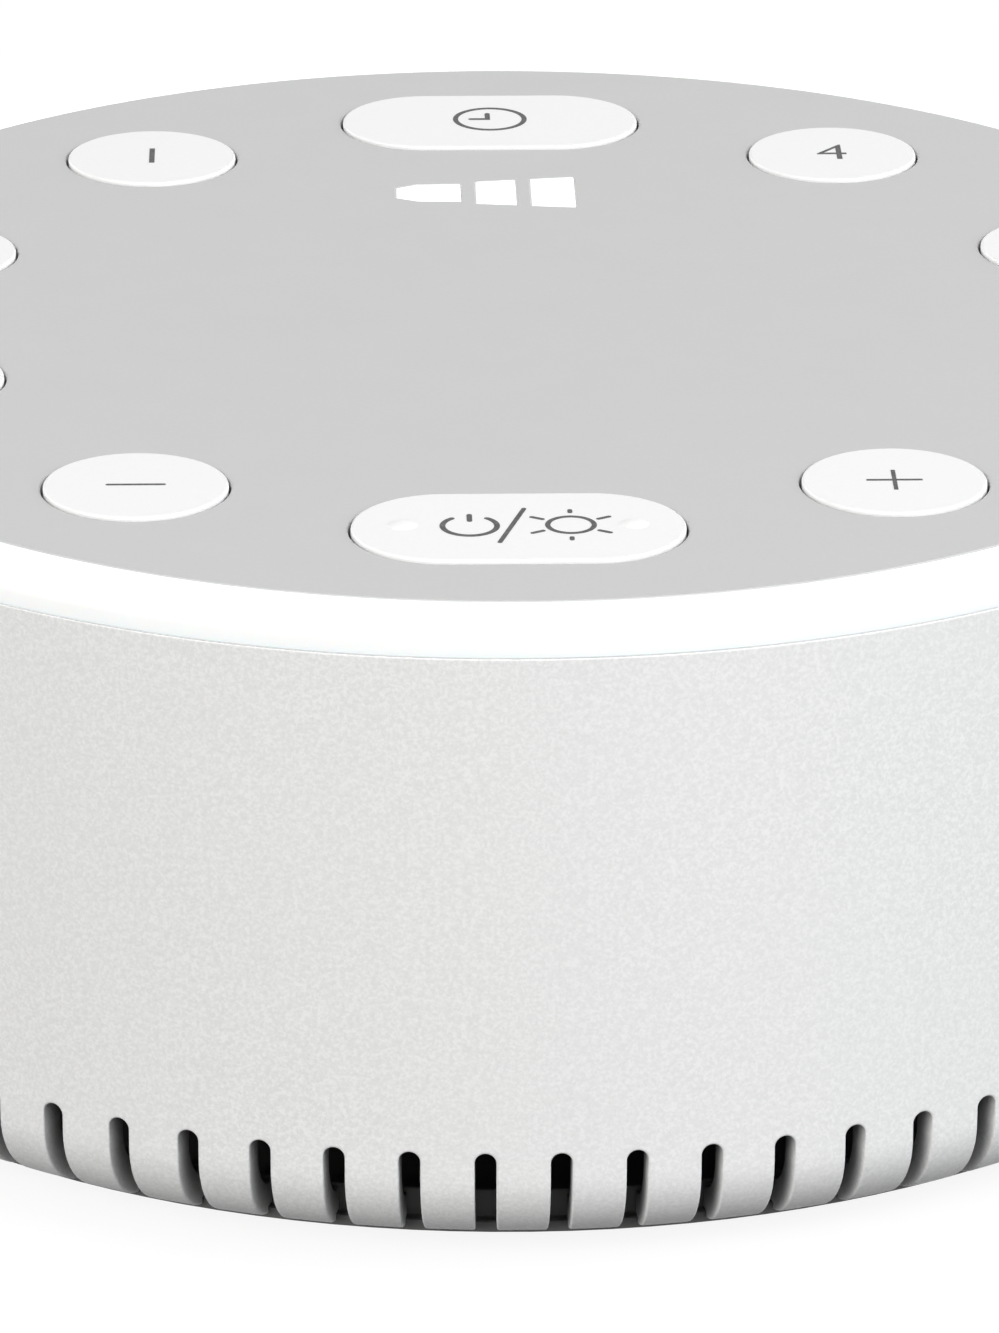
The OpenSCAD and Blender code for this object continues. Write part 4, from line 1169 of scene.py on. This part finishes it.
def studio_world(strength):
    """White behind the object, and a plain even light on it."""
    world = bpy.data.worlds.new("studio")
    bpy.context.scene.world = world
    world.use_nodes = True
    tree = world.node_tree
    tree.nodes.clear()
    light, backdrop = tree.nodes.new("ShaderNodeBackground"), tree.nodes.new("ShaderNodeBackground")
    light.inputs["Color"].default_value = (1, 1, 1, 1)
    light.inputs["Strength"].default_value = strength
    backdrop.inputs["Color"].default_value = (1, 1, 1, 1)
    end = tree.nodes.new("ShaderNodeOutputWorld")
    tree.links.new(mixed(tree, seen_directly(tree), light.outputs[0], backdrop.outputs[0]), end.inputs[0])


def pale_floor():
    """White floor that keeps a soft shadow; from below it isn't there."""
    material = bpy.data.materials.new("floor")
    material.use_nodes = True
    tree = material.node_tree
    tree.nodes.clear()
    node, wire = tree.nodes.new, tree.links.new
    # what lights the object, then what is seen: pale paper near the object, and white far from it
    lit, paper = node("ShaderNodeBsdfDiffuse"), node("ShaderNodeBsdfDiffuse")
    lit.inputs["Color"].default_value = (*grey(FLOOR_GREY), 1)
    paper.inputs["Color"].default_value = (*grey(LIT_SHARE), 1)
    glow, white = node("ShaderNodeEmission"), node("ShaderNodeEmission")
    glow.inputs["Strength"].default_value = 1 - LIT_SHARE * LAMPS_ON_FLOOR
    near = node("ShaderNodeAddShader")
    wire(paper.outputs[0], near.inputs[0])
    wire(glow.outputs[0], near.inputs[1])
    place, away = node("ShaderNodeTexCoord"), node("ShaderNodeVectorMath")
    away.operation = "LENGTH"
    wire(place.outputs["Object"], away.inputs[0])
    fade = node("ShaderNodeMapRange")
    fade.inputs["From Min"].default_value = SHADOW_NEAR * MM
    fade.inputs["From Max"].default_value = SHADOW_FAR * MM
    wire(away.outputs["Value"], fade.inputs["Value"])
    seen = mixed(tree, fade.outputs[0], near.outputs[0], white.outputs[0])
    top = mixed(tree, seen_directly(tree), lit.outputs[0], seen)
    underside = node("ShaderNodeNewGeometry").outputs["Backfacing"]
    clear, end = node("ShaderNodeBsdfTransparent"), node("ShaderNodeOutputMaterial")
    wire(mixed(tree, underside, top, clear.outputs[0]), end.inputs[0])
    ground = Solid()
    corners = [polar(FLOOR_R, math.radians(a), FLOOR_Z) for a in (-90, 30, 150)]
    ground.faces.append(ground.row(corners))  # one triangle: no edge crosses it under the object
    floor = link("floor", ground.mesh("floor"))
    floor.data.materials.append(material)


# ---- the scene

for placeholder in list(bpy.data.materials):
    bpy.data.materials.remove(placeholder)
MATERIALS = make_materials()
REPEAT, REPEAT_INPUTS = repeat_tree()
NODE_SLOTS = {part["node"]: part["material_slot"] for part in frame["record"]["subparts"]}

for node_name, node_object in frame["nodes"].items():
    node_object.data.materials.clear()
    node_object.data.materials.append(MATERIALS[NODE_SLOTS[node_name]])

make_sleeve()
make_ring()
make_panel()
make_timer_lights()
for key_name, sign in KEYS.items():
    key_place = make_key(key_name)
    if sign.isdigit():
        print_number(key_name, key_place)
    else:
        print_icon(key_name, key_place)
make_spider()
softened("base_cover", "base_plate", 0.2)
softened("rubber_feet", "round_feet", 0.15)
softened("dc_socket", "power_socket", 0.15)

photo_camera()
studio_world(WORLD_LIGHT)
pale_floor()
for box_name, box_setting in SOFTBOXES.items():
    softbox(box_name, *box_setting)

view_settings = bpy.context.scene.view_settings
view_settings.view_transform = "Standard"
